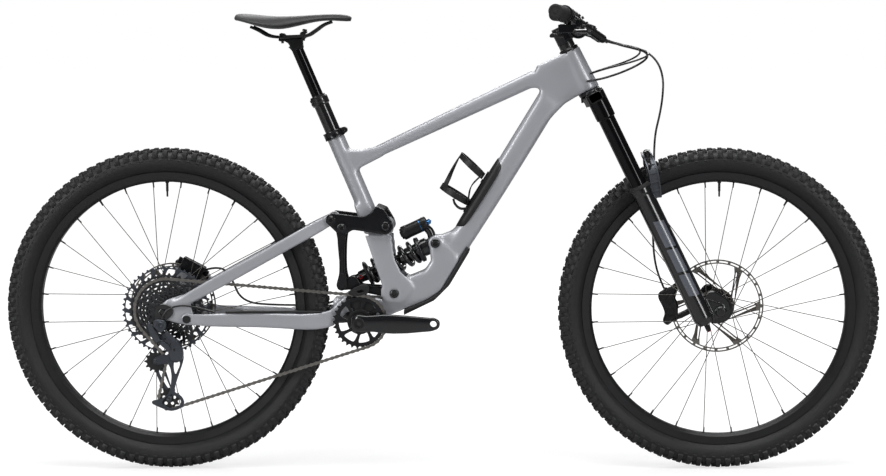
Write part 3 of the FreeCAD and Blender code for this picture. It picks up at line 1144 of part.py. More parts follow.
def chain_route():
    """Arcs and straight runs of the chain: (centre, radius, hand, y) round ring, cog and both pulleys."""
    wheels = [(BB, pitch_radius(ring_teeth), 1, -size("ring_line")),
              (REAR, pitch_radius(cog_teeth), 1, cog_y),
              (GUIDE_PULLEY, pitch_radius(pulley_teeth), -1, -size("cog_line")),
              (TENSION_PULLEY, pitch_radius(pulley_teeth), 1, -size("cog_line"))]
    runs = []
    for index, (centre, radius, hand, y) in enumerate(wheels):
        other, other_radius, other_hand, other_y = wheels[(index + 1) % len(wheels)]
        gap_x = other.x - centre.x
        gap_z = other.z - centre.z
        angle = math.atan2(gap_z, gap_x)
        angle -= math.asin((other_hand * other_radius - hand * radius) / math.hypot(gap_x, gap_z))
        right = Vector(math.sin(angle), 0, -math.cos(angle))
        start = Vector(centre.x, y, centre.z) + right * (hand * radius)
        stop = Vector(other.x, other_y, other.z) + right * (other_hand * other_radius)
        runs.append((start, stop))
    return wheels, runs


wheels, runs = chain_route()
plate_from = size("tooth_half") + size("chain_gap")
plate_wide = size("chain_plate")
chain_tall = size("chain_height")
chain_pieces = []
level = size("chain_level_run")
for start, stop in runs:
    along = Vector(stop.x - start.x, 0, stop.z - start.z).normalize()
    stops = [start, start + along * level, stop - along * level, stop]
    for first, second in zip(stops, stops[1:]):
        for side in (-1, 1):
            offset = LATERAL * side * (plate_from + plate_wide / 2)
            lead = along * 0.2
            chain_pieces.append(block((first + second) / 2 + offset,
                                      f"{(second - first + lead * 2).Length}",
                                      "chain_plate", "chain_height", second - first))
    middle = stops[2] - stops[1]
    for step in range(1, int(middle.Length / size("chain_pitch"))):
        point = stops[1] + Vector(middle).normalize() * (step * size("chain_pitch"))
        chain_pieces.append(
            rod(point - LATERAL * (plate_from + 0.1), point + LATERAL * (plate_from + 0.1), "2.2"))
for index, (centre, radius, hand, y) in enumerate(wheels):
    arrive = runs[index - 1][1]
    leave = runs[index][0]
    for side in (-1, 1):
        low = y + side * (plate_from + plate_wide / 2) - plate_wide / 2
        band = cut(
            cross_rod(centre, str(low), f"{low} + chain_plate", str(radius + chain_tall / 2)),
            [cross_rod(centre, str(low - 1), f"{low} + chain_plate + 1", str(radius - chain_tall / 2))])
        first = math.atan2(arrive.z - centre.z, arrive.x - centre.x)
        last = math.atan2(leave.z - centre.z, leave.x - centre.x)
        sweep = (last - first) * hand % (2 * math.pi)
        reach = 3 * radius
        fan = [(centre.x, centre.z, 0.0)]
        steps = 8
        for step in range(steps + 1):
            angle = first + hand * sweep * step / steps
            fan.append((centre.x + reach * math.cos(angle), centre.z + reach * math.sin(angle), 0.0))
        wedge = plate(fan, str(low - 1), f"{low} + chain_plate + 1")
        arc = new("Part::Common", "chain_arc")
        arc.Base = band
        arc.Tool = wedge
        chain_pieces.append(arc)
node("chain", chain_pieces)

guide_plate = plate([near(BB, -16, 76, 4), near(BB, -36, 76, 4), near(BB, -34, 44, 6), near(BB, -24, 32, 8),
                     near(BB, 0, 26, 10), near(BB, 20, 14, 4), near(BB, 23, -8, 5), near(BB, 36, -8, 5),
                     near(BB, 38, 28, 8), near(BB, 14, 54, 10), near(BB, 6, 72, 4)],
                    "-ring_line + 5.7", "-ring_line + 8.7")
guide_roof = plate(
    [
        near(BB, -14, 76, 2), near(BB, -36, 79, 2), near(BB, -37, 71.5, 2), near(BB, 4, 67.5, 2),
        near(BB, 5, 73, 2)],
    "-ring_line - 6", "-ring_line + 6")
guide_cheek = plate([near(BB, -36, 76, 3), near(BB, -36, 60, 3), near(BB, -14, 57.5, 3), near(BB, 4, 60, 3),
                     near(BB, 4, 73, 3)], "-ring_line - 6", "-ring_line - 4")
guide_bolts = [cross_rod(BB + Vector(along, 0, up), "-ring_line + 5", "-web_half", "4")
               for along, up in ((31, 19), (30, 0))]
node("chain_guide", [guide_plate, guide_roof, guide_cheek] + guide_bolts)

# ---------------------------------------------------------------- storage door and bottle cage

door = loft(
    [
        (tube(2, -2.6), DOWN_TUBE_UP, 44, 5, 2), (tube(20, -2.6), DOWN_TUBE_UP, 50, 5, 2),
        (tube(150, -2.6), DOWN_TUBE_UP, 48, 5, 2), (tube(166, -2.6), DOWN_TUBE_UP, 40, 5, 2)],
    ruled=True)
latch = block(tube(150, -8), "18", "20", "6", DOWN_TUBE_UP)
node("storage_door", [door, latch])
bottle_out = 5.2 + 6 + 37.5
spine = block(tube(76, -5.2 - 3), "120", "22", "6", DOWN_TUBE_UP)
foot = rod(tube(16, -bottle_out), tube(34, -bottle_out), "40.5")
foot_hole = rod(tube(19, -bottle_out), tube(40, -bottle_out), "37.5")
band = rod(tube(104, -bottle_out), tube(124, -bottle_out), "40.5")
band_hole = rod(tube(100, -bottle_out), tube(130, -bottle_out), "37.5")
mouth = block(tube(110, -bottle_out - 34), "100", "90", "40", DOWN_TUBE_UP)
node("bottle_cage", [cut(foot, [foot_hole]), cut(band, [band_hole, mouth]), spine],
     [rod(tube(36, -bottle_out), tube(140, -bottle_out), "37.5")])

# ---------------------------------------------------------------- hoses and cables

hose_r = size("hose_radius")
cable_r = hose_r - 0.3


def leaving(centre, toward):
    """The place where a hose leaves the round end of a brake cylinder."""
    return centre + (toward - centre).normalize() * (CYLINDER_RADIUS - 0.1)


front_run = [Vector(390, 156, 985), Vector(430, 138, 979), Vector(470, 114, 968), Vector(499, 90, 942),
             Vector(511, 74, 903), Vector(509, 66, 860), Vector(502, 62, 818), Vector(492, 60, 778),
             Vector(489, 56, 738), Vector(489, 50, 698), Vector(488, 45, 656), Vector(487, 43, 612),
             Vector(486, 42.5, 566), Vector(487, 43, 521), Vector(491, 45, 478), *FRONT_HOSE_END]
node("front_brake_hose", [hose("front_brake_hose", [leaving(master_in, front_run[0])] + front_run, hose_r)])
dropper_run = [remote_at + Vector(8, -12, 0), Vector(293, 180, 1020.5), Vector(318, 152, 1010),
               Vector(360, 132, 998), Vector(404, 104, 984), Vector(446, 64, 974), Vector(472, 18, 966),
               Vector(472, -22, 957), Vector(444, -46, 946), Vector(404, -50, 935), Vector(368, -38, 926),
               Vector(338.9, -18, 915.7)]
rear_brake_run = [
    Vector(398, -158, 982), Vector(434, -142, 974), Vector(462, -118, 966), Vector(468, -88, 953),
    Vector(448, -68, 937), Vector(412, -60, 920), Vector(374, -50, 907), Vector(348, -38, 901),
    Vector(331, -30.5, 898.5)]
shift_run = [shifter_at + Vector(6, 15, -3), Vector(291, -178, 1015), Vector(316, -150, 1006),
             Vector(358, -128, 994), Vector(402, -96, 982), Vector(436, -52, 976), Vector(456, -6, 968),
             Vector(448, 36, 954), Vector(416, 54, 940), Vector(378, 46, 928), Vector(338.9, 18, 915.7)]
node("control_hoses", [hose("dropper_cable", dropper_run, cable_r),
                       hose("rear_brake_line", [leaving(flip(master_in), rear_brake_run[0])]
                            + rear_brake_run,
                            hose_r),
                       hose("shift_cable", shift_run, cable_r)], apart=True)
rear_run = [
    *reversed(REAR_HOSE_START), Vector(-506, 52, 452), Vector(-493, 52, 422), Vector(-482, 56, 394),
    Vector(-456, 62, 377.5), Vector(-418, 61.5, 374), Vector(-372, 56.6, 373.2),
    Vector(-326, 50.8, 373.6), Vector(-284, 49, 375), Vector(-250, 49, 386), Vector(-216, 49.5, 400),
    Vector(-182, 50, 409), Vector(-152, 46, 411), Vector(-132, 41.5, 410)]
shift_end = [
    arm_top + Vector(4, 0, 14.05), Vector(-632, -93.5, 375), Vector(-616, -95, 386),
    Vector(-594, -96, 391), Vector(-569, -94, 388.5), Vector(-544, -89, 382), Vector(-520, -82.5, 374)]
node(
    "rear_hoses",
    [hose("rear_brake_hose", rear_run, hose_r), hose("rear_shift_cable", shift_end, cable_r)],
    apart=True)

# ---------------------------------------------------------------- check and write

doc.recompute()
failed = [item.Name for item in doc.Objects if "Invalid" in item.State or "Error" in item.State]
if failed:
    raise SystemExit("objects that failed: " + ", ".join(failed))
for before, after, drill, pad in drilled:
    removed = before.Shape.Volume - after.Shape.Volume
    expected = math.pi * drill.Geometry[0].Radius ** 2 * pad.Length.Value
    if abs(removed - expected) > 0.01 * expected:
        raise SystemExit(f"{after.Name} removed {removed:.1f} of {expected:.1f}")
for item in NODES:
    if item.Shape.isNull() or not item.Shape.isValid() or not item.Shape.Solids:
        raise SystemExit("bad shape: " + item.Label)
for item in NODES:
    item.Shape.exportStep(f"parts/{item.Label}.step")
print(len(NODES), "parts written")
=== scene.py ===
import json
import math

import bmesh
import bpy
import numpy as np
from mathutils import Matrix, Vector

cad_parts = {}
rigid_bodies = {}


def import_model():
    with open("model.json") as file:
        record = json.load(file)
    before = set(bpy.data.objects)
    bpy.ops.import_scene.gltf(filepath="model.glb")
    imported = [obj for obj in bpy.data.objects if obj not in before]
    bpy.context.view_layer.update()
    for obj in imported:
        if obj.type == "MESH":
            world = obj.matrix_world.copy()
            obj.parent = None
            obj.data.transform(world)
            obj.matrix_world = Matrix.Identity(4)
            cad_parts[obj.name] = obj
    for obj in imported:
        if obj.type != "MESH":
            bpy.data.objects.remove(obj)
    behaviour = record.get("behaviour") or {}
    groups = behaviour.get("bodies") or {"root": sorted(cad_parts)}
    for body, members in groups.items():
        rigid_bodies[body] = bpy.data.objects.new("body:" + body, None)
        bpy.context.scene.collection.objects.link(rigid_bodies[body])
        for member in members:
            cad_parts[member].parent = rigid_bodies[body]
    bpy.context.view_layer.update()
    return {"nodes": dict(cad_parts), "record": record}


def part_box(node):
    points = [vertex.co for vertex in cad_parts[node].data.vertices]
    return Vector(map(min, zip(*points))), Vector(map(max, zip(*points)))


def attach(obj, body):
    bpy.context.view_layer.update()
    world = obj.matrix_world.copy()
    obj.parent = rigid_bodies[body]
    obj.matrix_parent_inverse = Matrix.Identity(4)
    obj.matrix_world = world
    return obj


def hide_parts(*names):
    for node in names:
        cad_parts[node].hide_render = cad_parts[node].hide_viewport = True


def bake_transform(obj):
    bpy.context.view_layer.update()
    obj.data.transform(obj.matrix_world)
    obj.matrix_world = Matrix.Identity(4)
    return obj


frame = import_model()
MM = 0.001


# ---------------------------------------------------------------- shader arithmetic

class Value:
    """A socket that takes part in arithmetic."""

    def __init__(self, finish, socket):
        self.finish = finish
        self.socket = socket

    def joined(self, operation, *others):
        return self.finish.node("ShaderNodeMath", {"operation": operation}, *others)

    def __add__(self, other):
        return self.joined("ADD", self, other)

    def __radd__(self, other):
        return self.joined("ADD", other, self)

    def __sub__(self, other):
        return self.joined("SUBTRACT", self, other)

    def __rsub__(self, other):
        return self.joined("SUBTRACT", other, self)

    def __mul__(self, other):
        return self.joined("MULTIPLY", self, other)

    def __rmul__(self, other):
        return self.joined("MULTIPLY", other, self)

    def __truediv__(self, other):
        return self.joined("DIVIDE", self, other)

    def __gt__(self, other):
        return self.joined("GREATER_THAN", self, other)

    def __lt__(self, other):
        return self.joined("LESS_THAN", self, other)

    def __abs__(self):
        return self.joined("ABSOLUTE", self)

    def sine(self):
        return self.joined("SINE", self)

    def power(self, exponent):
        return self.joined("POWER", self, exponent)


class Finish:
    """A material: its shader's constants, then nodes for what varies over a surface."""

    def __init__(self, name, colour, **constants):
        self.material = bpy.data.materials.new(name)
        self.material.use_nodes = True
        self.tree = self.material.node_tree
        self.shader = self.tree.nodes["Principled BSDF"]
        self.shader.inputs["Base Color"].default_value = (*colour, 1)
        for name, number in constants.items():
            self.shader.inputs[name.replace("_", " ").title().replace("Ior", "IOR")].default_value = number

    def feed(self, socket, content):
        if isinstance(content, Value):
            self.tree.links.new(content.socket, socket)
        elif isinstance(content, tuple) and len(content) == 3 and len(socket.default_value) == 4:
            socket.default_value = (*content, 1)
        else:
            socket.default_value = content

    def node(self, kind, settings=None, *inputs, out=0, **named):
        made = self.tree.nodes.new(kind)
        for name, setting in (settings or {}).items():
            if name == "stops":
                for index, (place, shade) in enumerate(setting):
                    stop = made.color_ramp.elements[
                        index] if index < 2 else made.color_ramp.elements.new(place)
                    stop.position = place
                    stop.color = (*shade, 1) if isinstance(shade, tuple) else (shade, shade, shade, 1)
            else:
                setattr(made, name, setting)
        for index, content in enumerate(inputs):
            self.feed(made.inputs[index], content)
        for name, content in named.items():
            self.feed(made.inputs[name], content)
        return Value(self, made.outputs[out])

    def place(self):
        return self.node("ShaderNodeTexCoord", out=3)

    def axes(self, vector):
        split = self.node("ShaderNodeSeparateXYZ", None, vector)
        return [Value(self, output) for output in split.socket.node.outputs]

    def stretched(self, factors):
        return self.node("ShaderNodeVectorMath", {"operation": "MULTIPLY"}, self.place(), tuple(factors))

    def noise(self, scale, detail=3.0, rough=0.5, factors=(1, 1, 1)):
        return self.node("ShaderNodeTexNoise", None, Vector=self.stretched(factors), Scale=scale,
                         Detail=detail, Roughness=rough)

    def cells(self, scale, factors=(1, 1, 1), feature="F1"):
        return self.node("ShaderNodeTexVoronoi", {"feature": feature}, Vector=self.stretched(factors),
                         Scale=scale)

    def ramp(self, factor, *stops):
        return self.node("ShaderNodeValToRGB", {"stops": stops}, factor)

    def mix(self, mask, first, second):
        made = self.node("ShaderNodeMix", {"data_type": "RGBA"})
        tied = made.socket.node
        for index, content in ((0, mask), (6, first), (7, second)):
            self.feed(tied.inputs[index], content)
        return Value(self, tied.outputs[2])

    def bump(self, height, distance, strength=1.0):
        normal = self.node("ShaderNodeBump", None, Height=height, Distance=distance, Strength=strength)
        self.vary(Normal=normal)

    def vary(self, **sockets):
        for name, content in sockets.items():
            self.feed(self.shader.inputs[name.replace("_", " ")], content)

    def edges(self, width):
        """1 on sharp outer edges, 0 on flats and in hollows."""
        pointed = self.node("ShaderNodeNewGeometry", out=7)
        return self.ramp(pointed, (0.5 + 2 * width, 0.0), (0.5 + 10 * width, 1.0))

    def off_axis(self, x, z):
        """Distance from a cross axis through (x, z), in metres."""
        across, _, up = self.axes(self.place())
        return ((across - x) * (across - x) + (up - z) * (up - z)).power(0.5)


def worn_metal(name, colour, rough, metallic, speckle=900, patch=35, bump=0.00002, spread=0.12, edge=0.0,
               **constants):
    """Anodised, painted or bare metal: fine grain, cloudy changes of shade and gloss, paler worn edges."""
    finish = Finish(name, colour, metallic=metallic, **constants)
    grain = finish.noise(speckle, 2)
    cloud = finish.noise(patch, 4, 0.6)
    deep = tuple(channel * (1 - spread) for channel in colour)
    pale = tuple(min(1, channel * (1 + spread) + 0.004) for channel in colour)
    body = finish.mix(cloud * 0.6 + grain * 0.4, deep, pale)
    if edge:
        body = finish.mix(finish.edges(0.012) * 0.35, body, tuple(channel + edge for channel in colour))
    finish.vary(Base_Color=body, Roughness=rough + (cloud - 0.5) * 0.14 + (grain - 0.5) * 0.1)
    finish.bump(grain, bump)
    return finish


def silver_paint():
    """Clear-coated silver: fine flake, brighter worn edges."""
    colour = (0.47, 0.48, 0.515)
    finish = Finish("silver_paint", colour, metallic=0.35, coat_weight=0.8, coat_roughness=0.2)
    flake = finish.noise(2600, 2)
    cloud = finish.noise(7, 3, 0.55)
    edges = finish.edges(0.02)
    body = finish.mix(
        cloud * 0.6 + flake * 0.4, tuple(c * 0.95 for c in colour), tuple(c * 1.06 for c in colour))
    finish.vary(Base_Color=finish.mix(edges * 0.25, body, (0.62, 0.63, 0.66)),
                Roughness=0.38 + (cloud - 0.5) * 0.1 + (flake - 0.5) * 0.08)
    finish.bump(flake, 0.0000004)
    return finish.material


def satin_black():
    return worn_metal("satin_black", (0.011, 0.011, 0.0125), 0.34, 0.35, edge=0.05).material


def forged_black():
    return worn_metal(
        "forged_black", (0.0095, 0.010, 0.012), 0.25, 0.45, 1400, 22, 0.000006, 0.15, edge=0.05,
        coat_weight=0.25, coat_roughness=0.15).material


def gloss_black():
    return worn_metal(
        "gloss_black", (0.0065, 0.007, 0.0085), 0.20, 0.2, 1400, 14, 0.000004, 0.15, edge=0.03,
        coat_weight=0.9, coat_roughness=0.05).material


def slate_metal():
    """Blue-grey anodised forgings of the gear changer."""
    return worn_metal(
        "slate_metal", (0.062, 0.070, 0.086), 0.33, 0.6, 1200, 30, 0.00001, 0.15, edge=0.12).material


def fork_paint(leg_axis, foot):
    """Gloss black fork legs with three plain slanted grey bars on their outer faces."""
    finish = Finish(
        "fork_paint", (0.0065, 0.007, 0.0085), metallic=0.1, coat_weight=0.9, coat_roughness=0.16)
    across, out, up = finish.axes(finish.place())
    along = (across - foot.x) * leg_axis.x + (up - foot.z) * leg_axis.z
    fore = (across - foot.x) * leg_axis.z - (up - foot.z) * leg_axis.x
    slanted = along + fore * 0.25
    outside = (abs(out) > 0.078) * (fore > -0.050) * (fore < -0.026)
    bars = (slanted > 0.054) * (slanted < 0.108)
    for low, high in ((0.115, 0.172), (0.178, 0.243)):
        bars = bars + (slanted > low) * (slanted < high)
    grain = finish.noise(1500, 2)
    cloud = finish.noise(16, 3)
    black = finish.mix(cloud, (0.005, 0.0055, 0.0065), (0.009, 0.0095, 0.011))
    finish.vary(Base_Color=finish.mix(bars * outside, black, (0.115, 0.125, 0.150)),
                Roughness=0.22 + (grain - 0.5) * 0.06 + bars * outside * 0.1)
    finish.bump(grain, 0.000003)
    return finish.material


def fork_coating():
    return worn_metal("fork_coating", (0.006, 0.006, 0.0075), 0.12, 0.6, 1600, 10, 0.000002, 0.12).material


def bare_metal(name="bare_metal", colour=(0.50, 0.50, 0.52), rough=0.30):
    finish = Finish(name, colour, metallic=1.0)
    brushed = finish.noise(90, 3, 0.6, (1, 14, 1))
    cloud = finish.noise(30, 3)
    finish.vary(
        Base_Color=finish.mix(cloud, tuple(c * 0.82 for c in colour), tuple(c * 1.1 for c in colour)),
        Roughness=rough + (brushed - 0.5) * 0.25)
    finish.bump(brushed, 0.00002)
    return finish.material


def moulded_black(name="moulded_black", colour=(0.012, 0.012, 0.013), rough=0.46, pits=1500):
    finish = Finish(name, colour, metallic=0.0)
    leather = finish.cells(pits)
    cloud = finish.noise(40, 3)
    finish.vary(
        Base_Color=finish.mix(cloud, tuple(c * 0.8 for c in colour), tuple(c * 1.35 for c in colour)),
        Roughness=rough + (cloud - 0.5) * 0.18)
    finish.bump(leather, 0.00006)
    return finish.material


def tyre_rubber(name, centre, groove=(0.020, 0.020, 0.021)):
    """Matt rubber: rings on the sidewall, mottled dusty tone, fine moulding grain; paler towards the tread, which on
    the casing between the knobs is a painted sheen.
    """
    finish = Finish(name, (0.03, 0.03, 0.03))
    reach = finish.off_axis(centre.x, centre.z)
    rings = (reach * 5200).sine()
    side = (reach < 0.347) * (reach > 0.318)
    grain = finish.noise(700, 3, 0.6)
    dust = finish.noise(26, 5, 0.65)
    # Painted sheen: towards the tread the colour turns to the groove tone, much paler on the casing between the knobs
    # and slightly paler on the knob tops.
    tread = finish.ramp(reach, (0.352, 0.0), (0.372, 1.0))
    dark = finish.mix(dust, (0.0075, 0.0075, 0.0085), (0.014, 0.014, 0.015))
    finish.vary(Base_Color=finish.mix(tread * 0.6, dark, groove),
                Roughness=0.46 + (dust - 0.5) * 0.2 + tread * 0.16)
    finish.bump(rings * side * 0.5 + grain * 0.9, 0.00012)
    return finish.material


def spoke_black():
    return worn_metal("spoke_black", (0.17, 0.158, 0.145), 0.36, 0.8, 900, 30).material


def rotor_steel(name, centre):
    finish = Finish(name, (0.5, 0.5, 0.5), metallic=1.0)
    reach = finish.off_axis(centre.x, centre.z)
    swirl = finish.noise(60, 2, 0.5)
    lines = ((reach * 9000) + swirl * 3).sine()
    track = reach > 0.092
    finish.vary(Base_Color=finish.mix(track, (0.17, 0.155, 0.14), (0.30, 0.285, 0.265)),
                Roughness=0.30 + lines * 0.05 + swirl * 0.08)
    finish.bump(lines * track, 0.000012)
    return finish.material


def hose_black():
    finish = Finish("hose_black", (0.012, 0.012, 0.013), coat_weight=0.15)
    grain = finish.noise(900, 2)
    finish.vary(Base_Color=finish.mix(grain, (0.006, 0.006, 0.007), (0.013, 0.013, 0.014)),
                Roughness=0.34 + (grain - 0.5) * 0.12)
    finish.bump(grain, 0.00002)
    return finish.material


def saddle_leather():
    finish = Finish("saddle_leather", (0.020, 0.020, 0.021), sheen_weight=0.15)
    pebble = finish.cells(620, feature="SMOOTH_F1")
    crease = finish.noise(55, 4, 0.6)
    finish.vary(Base_Color=finish.mix(crease, (0.011, 0.011, 0.0125), (0.025, 0.025, 0.028)),
                Roughness=0.50 + (pebble - 0.4) * 0.22)
    finish.bump(pebble * 0.8 + crease * 0.5, 0.00016)
    return finish.material


def grip_rubber():
    finish = Finish("grip_rubber", (0.018, 0.018, 0.019))
    grain = finish.noise(1100, 3, 0.6)
    cloud = finish.noise(45, 3)
    finish.vary(Base_Color=finish.mix(cloud, (0.010, 0.010, 0.011), (0.022, 0.022, 0.023)),
                Roughness=0.74 + (grain - 0.5) * 0.2)
    finish.bump(grain, 0.00008)
    return finish.material


def anodised(name, colour):
    return worn_metal(name, colour, 0.26, 0.95, 1200, 40, 0.000006, 0.12).material


def cog_steel():
    return worn_metal(
        "cog_steel", (0.060, 0.062, 0.066), 0.30, 0.85, 900, 60, 0.00001, 0.3, edge=0.1).material


def chain_steel(name="chain_steel", colour=(0.27, 0.255, 0.235)):
    return worn_metal(name, colour, 0.30, 1.0, 700, 120, 0.00001, 0.35, edge=0.12).material


SILVER = silver_paint()
SATIN = satin_black()
FORGED = forged_black()
GLOSS = gloss_black()
SLATE = slate_metal()
STANCHION = fork_coating()
STEEL = bare_metal("bright_steel", (0.30, 0.30, 0.31), 0.30)
PLASTIC = moulded_black()
SPOKE = spoke_black()
HOSE = hose_black()
LEATHER = saddle_leather()
GRIP = grip_rubber()
BLUE = anodised("blue_anodised", (0.10, 0.34, 0.74))
RED = anodised("red_anodised", (0.55, 0.02, 0.025))
COG = cog_steel()
CHAIN = chain_steel()


# ---------------------------------------------------------------- making pieces

def home(node):
    """The body that a CAD node rides on."""
    return frame["nodes"][node].parent.name.removeprefix("body:")


def finished(piece, material, body, nodes=()):
    """Gives a piece its material, its body, and the CAD nodes that it stands for."""
    piece.data.materials.clear()
    piece.data.materials.append(material)
    if body:
        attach(piece, body)
    if nodes:
        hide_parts(*nodes)
    return piece


def linked(name, mesh):
    piece = bpy.data.objects.new(name, mesh)
    bpy.context.scene.collection.objects.link(piece)
    return piece


def solid(name, points, faces, smooth=True):
    mesh = bpy.data.meshes.new(name)
    mesh.from_pydata([tuple(point) for point in points], [], faces)
    mesh.validate()
    if smooth:
        mesh.polygons.foreach_set("use_smooth", [True] * len(mesh.polygons))
    return linked(name, mesh)


def evaluated(item):
    """The mesh that an object's modifiers or its curve give."""
    graph = bpy.context.evaluated_depsgraph_get()
    return bpy.data.meshes.new_from_object(item.evaluated_get(graph), depsgraph=graph)


def baked(item, angle=None):
    """Swaps an object's modifiers for the mesh that they give."""
    mesh = evaluated(item)
    item.modifiers.clear()
    item.data = mesh
    mesh.polygons.foreach_set("use_smooth", [True] * len(mesh.polygons))
    if angle:
        mesh.set_sharp_from_angle(angle=math.radians(angle))
    return item


def softened(node, voxel, rounds, material, fairing=0):
    """A CAD piece with its edges rounded as casting or layup leaves them; fairing blends its sides only."""
    mesh = frame["nodes"][node].data.copy()
    mesh.materials.clear()
    piece = linked(node + "_skin", mesh)
    weld = piece.modifiers.new("weld", "WELD")
    weld.merge_threshold = 0.01 * MM
    remesh = piece.modifiers.new("remesh", "REMESH")
    remesh.mode = "VOXEL"
    remesh.voxel_size = voxel * MM
    if fairing:
        sides = piece.modifiers.new("sides", "SMOOTH")
        sides.use_x = sides.use_z = False
        sides.iterations = fairing
        again = piece.modifiers.new("again", "REMESH")
        again.mode = "VOXEL"
        again.voxel_size = voxel * MM
    smooth = piece.modifiers.new("smooth", "SMOOTH")
    smooth.factor = 0.5
    smooth.iterations = rounds
    baked(piece)
    return finished(piece, material, home(node), [node])


def sections_skin(name, rings, closed=False, capped=True):
    """A skin through rings of points, each ring with as many points."""
    count = len(rings[0])
    points = [point for ring in rings for point in ring]
    faces = []
    spans = len(rings) if closed else len(rings) - 1
    for row in range(spans):
        here = row * count
        ahead = (row + 1) % len(rings) * count
        for column in range(count):
            after = (column + 1) % count
            faces.append((here + column, here + after, ahead + after, ahead + column))
    if capped and not closed:
        faces.append(tuple(reversed(range(count))))
        faces.append(tuple(range(len(points) - count, len(points))))
    return solid(name, points, faces)


def spun(name, profile, centre, steps):
    """A closed (radius, y) profile turned about the cross axis through centre; numbers in mm."""
    rings = []
    for step in range(steps):
        turn = 2 * math.pi * step / steps
        rings.append([Vector((centre.x + radius * MM * math.cos(turn), centre.y + y * MM,
                              centre.z + radius * MM * math.sin(turn))) for radius, y in profile])
    return sections_skin(name, rings, closed=True)


def flat_mesh(loops, low, high, edge=0.25):
    """Side outlines in mm, the first with the others cut out of it, padded from y = low to high."""
    curve = bpy.data.curves.new("outline", "CURVE")
    curve.dimensions = "2D"
    curve.fill_mode = "BOTH"
    curve.extrude = (high - low) / 2 * MM - edge * MM
    curve.bevel_depth = edge * MM
    curve.bevel_resolution = 0
    curve.offset = -edge * MM
    for loop in loops:
        spline = curve.splines.new("POLY")
        spline.points.add(len(loop) - 1)
        for point, (x, z) in zip(spline.points, loop):
            point.co = (x * MM, z * MM, 0, 1)
        spline.use_cyclic_u = True
    item = linked("outline", curve)
    mesh = evaluated(item)
    bpy.data.objects.remove(item)
    count = len(mesh.vertices)
    flat = np.zeros(count * 3)
    mesh.vertices.foreach_get("co", flat)
    flat = flat.reshape(-1, 3)
    middle = (low + high) / 2 * MM
    points = np.column_stack([flat[:, 0], middle - flat[:, 2], flat[:, 1]])
    faces = [tuple(polygon.vertices) for polygon in mesh.polygons]
    bpy.data.meshes.remove(mesh)
    return points, faces


def gathered(name, parts, angle=30):
    """One piece from several lots of points and faces."""
    points = []
    faces = []
    for some_points, some_faces in parts:
        base = len(points)
        points += [tuple(point) for point in some_points]
        faces += [tuple(base + index for index in face) for face in some_faces]
    mesh = bpy.data.meshes.new(name)
    mesh.from_pydata(points, [], faces)
    mesh.validate()
    tidy = bmesh.new()
    tidy.from_mesh(mesh)
    bmesh.ops.remove_doubles(tidy, verts=tidy.verts, dist=1e-6)
    bmesh.ops.recalc_face_normals(tidy, faces=tidy.faces)
    tidy.to_mesh(mesh)
    tidy.free()
    mesh.polygons.foreach_set("use_smooth", [True] * len(mesh.polygons))
    mesh.set_sharp_from_angle(angle=math.radians(angle))
    return linked(name, mesh)


def ring_loop(centre, radius, count, turn=0.0):
    """A round outline in mm about centre (x, z)."""
    return [(centre[0] + radius * math.cos(2 * math.pi * step / count + turn),
             centre[1] + radius * math.sin(2 * math.pi * step / count + turn)) for step in range(count)]


def polar(centre, radius, angle):
    return (centre[0] + radius * math.cos(angle), centre[1] + radius * math.sin(angle))


def in_mm(vector):
    return (vector.x / MM, vector.z / MM)


def middle_of(node):
    low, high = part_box(node)
    return (low + high) / 2


def eased(loop, rounds=2):
    """A closed outline with its corners rounded."""
    for _ in range(rounds):
        cut = []
        for here, ahead in zip(loop, loop[1:] + loop[:1]):
            cut.append((here[0] * 0.78 + ahead[0] * 0.22, here[1] * 0.78 + ahead[1] * 0.22))
            cut.append((here[0] * 0.22 + ahead[0] * 0.78, here[1] * 0.22 + ahead[1] * 0.78))
        loop = cut
    return loop


def about(anchor, offsets, rounds=2):
    """An eased outline given as (x, z) offsets in mm from an anchor."""
    x, z = in_mm(anchor)
    return eased([(x + across, z + up) for across, up in offsets], rounds)


def crossways(direction):
    """A direction with two more across it."""
    way = Vector(direction).normalized()
    side = way.cross(Vector((0, 0, 1)) if abs(way.z) < 0.9 else Vector((1, 0, 0))).normalized()
    return way, side, way.cross(side)


def lathe(base, direction, profile, steps=32, closed=False, flutes=0, depth=0.0):
    """Points and faces of a (radius, along) profile in mm turned about an axis; flutes dent its sides."""
    way, side, over = crossways(direction)
    points = []
    faces = []
    count = len(profile)
    for step in range(steps):
        turn = 2 * math.pi * step / steps
        ray = side * math.cos(turn) + over * math.sin(turn)
        dent = depth * (0.5 - 0.5 * math.cos(flutes * turn)) if flutes else 0.0
        for radius, along, *kind in profile:
            if kind:
                radius *= math.cos(math.pi / 6) / math.cos(turn % (math.pi / 3) - math.pi / 6)
            points.append(base + ray * (max(radius - dent, 0) if radius > 0 else 0) * MM + way * along * MM)
        ahead = (step + 1) % steps * count
        for row in range(count if closed else count - 1):
            after = (row + 1) % count
            faces.append((step * count + row, step * count + after, ahead + after, ahead + row))
    return points, faces


def button(base, direction, radius, tall=3.0, sunk=2.0):
    """A bolt head with a six-sided socket."""
    socket = radius * 0.52
    return lathe(
        base, direction,
        (
            (0, -sunk), (radius, -sunk), (radius, tall * 0.6), (radius * 0.86, tall),
            (socket * 1.2, tall), (socket, tall - 0.3, True), (socket, tall * 0.1, True), (0, tall * 0.1)
        ),
        36)


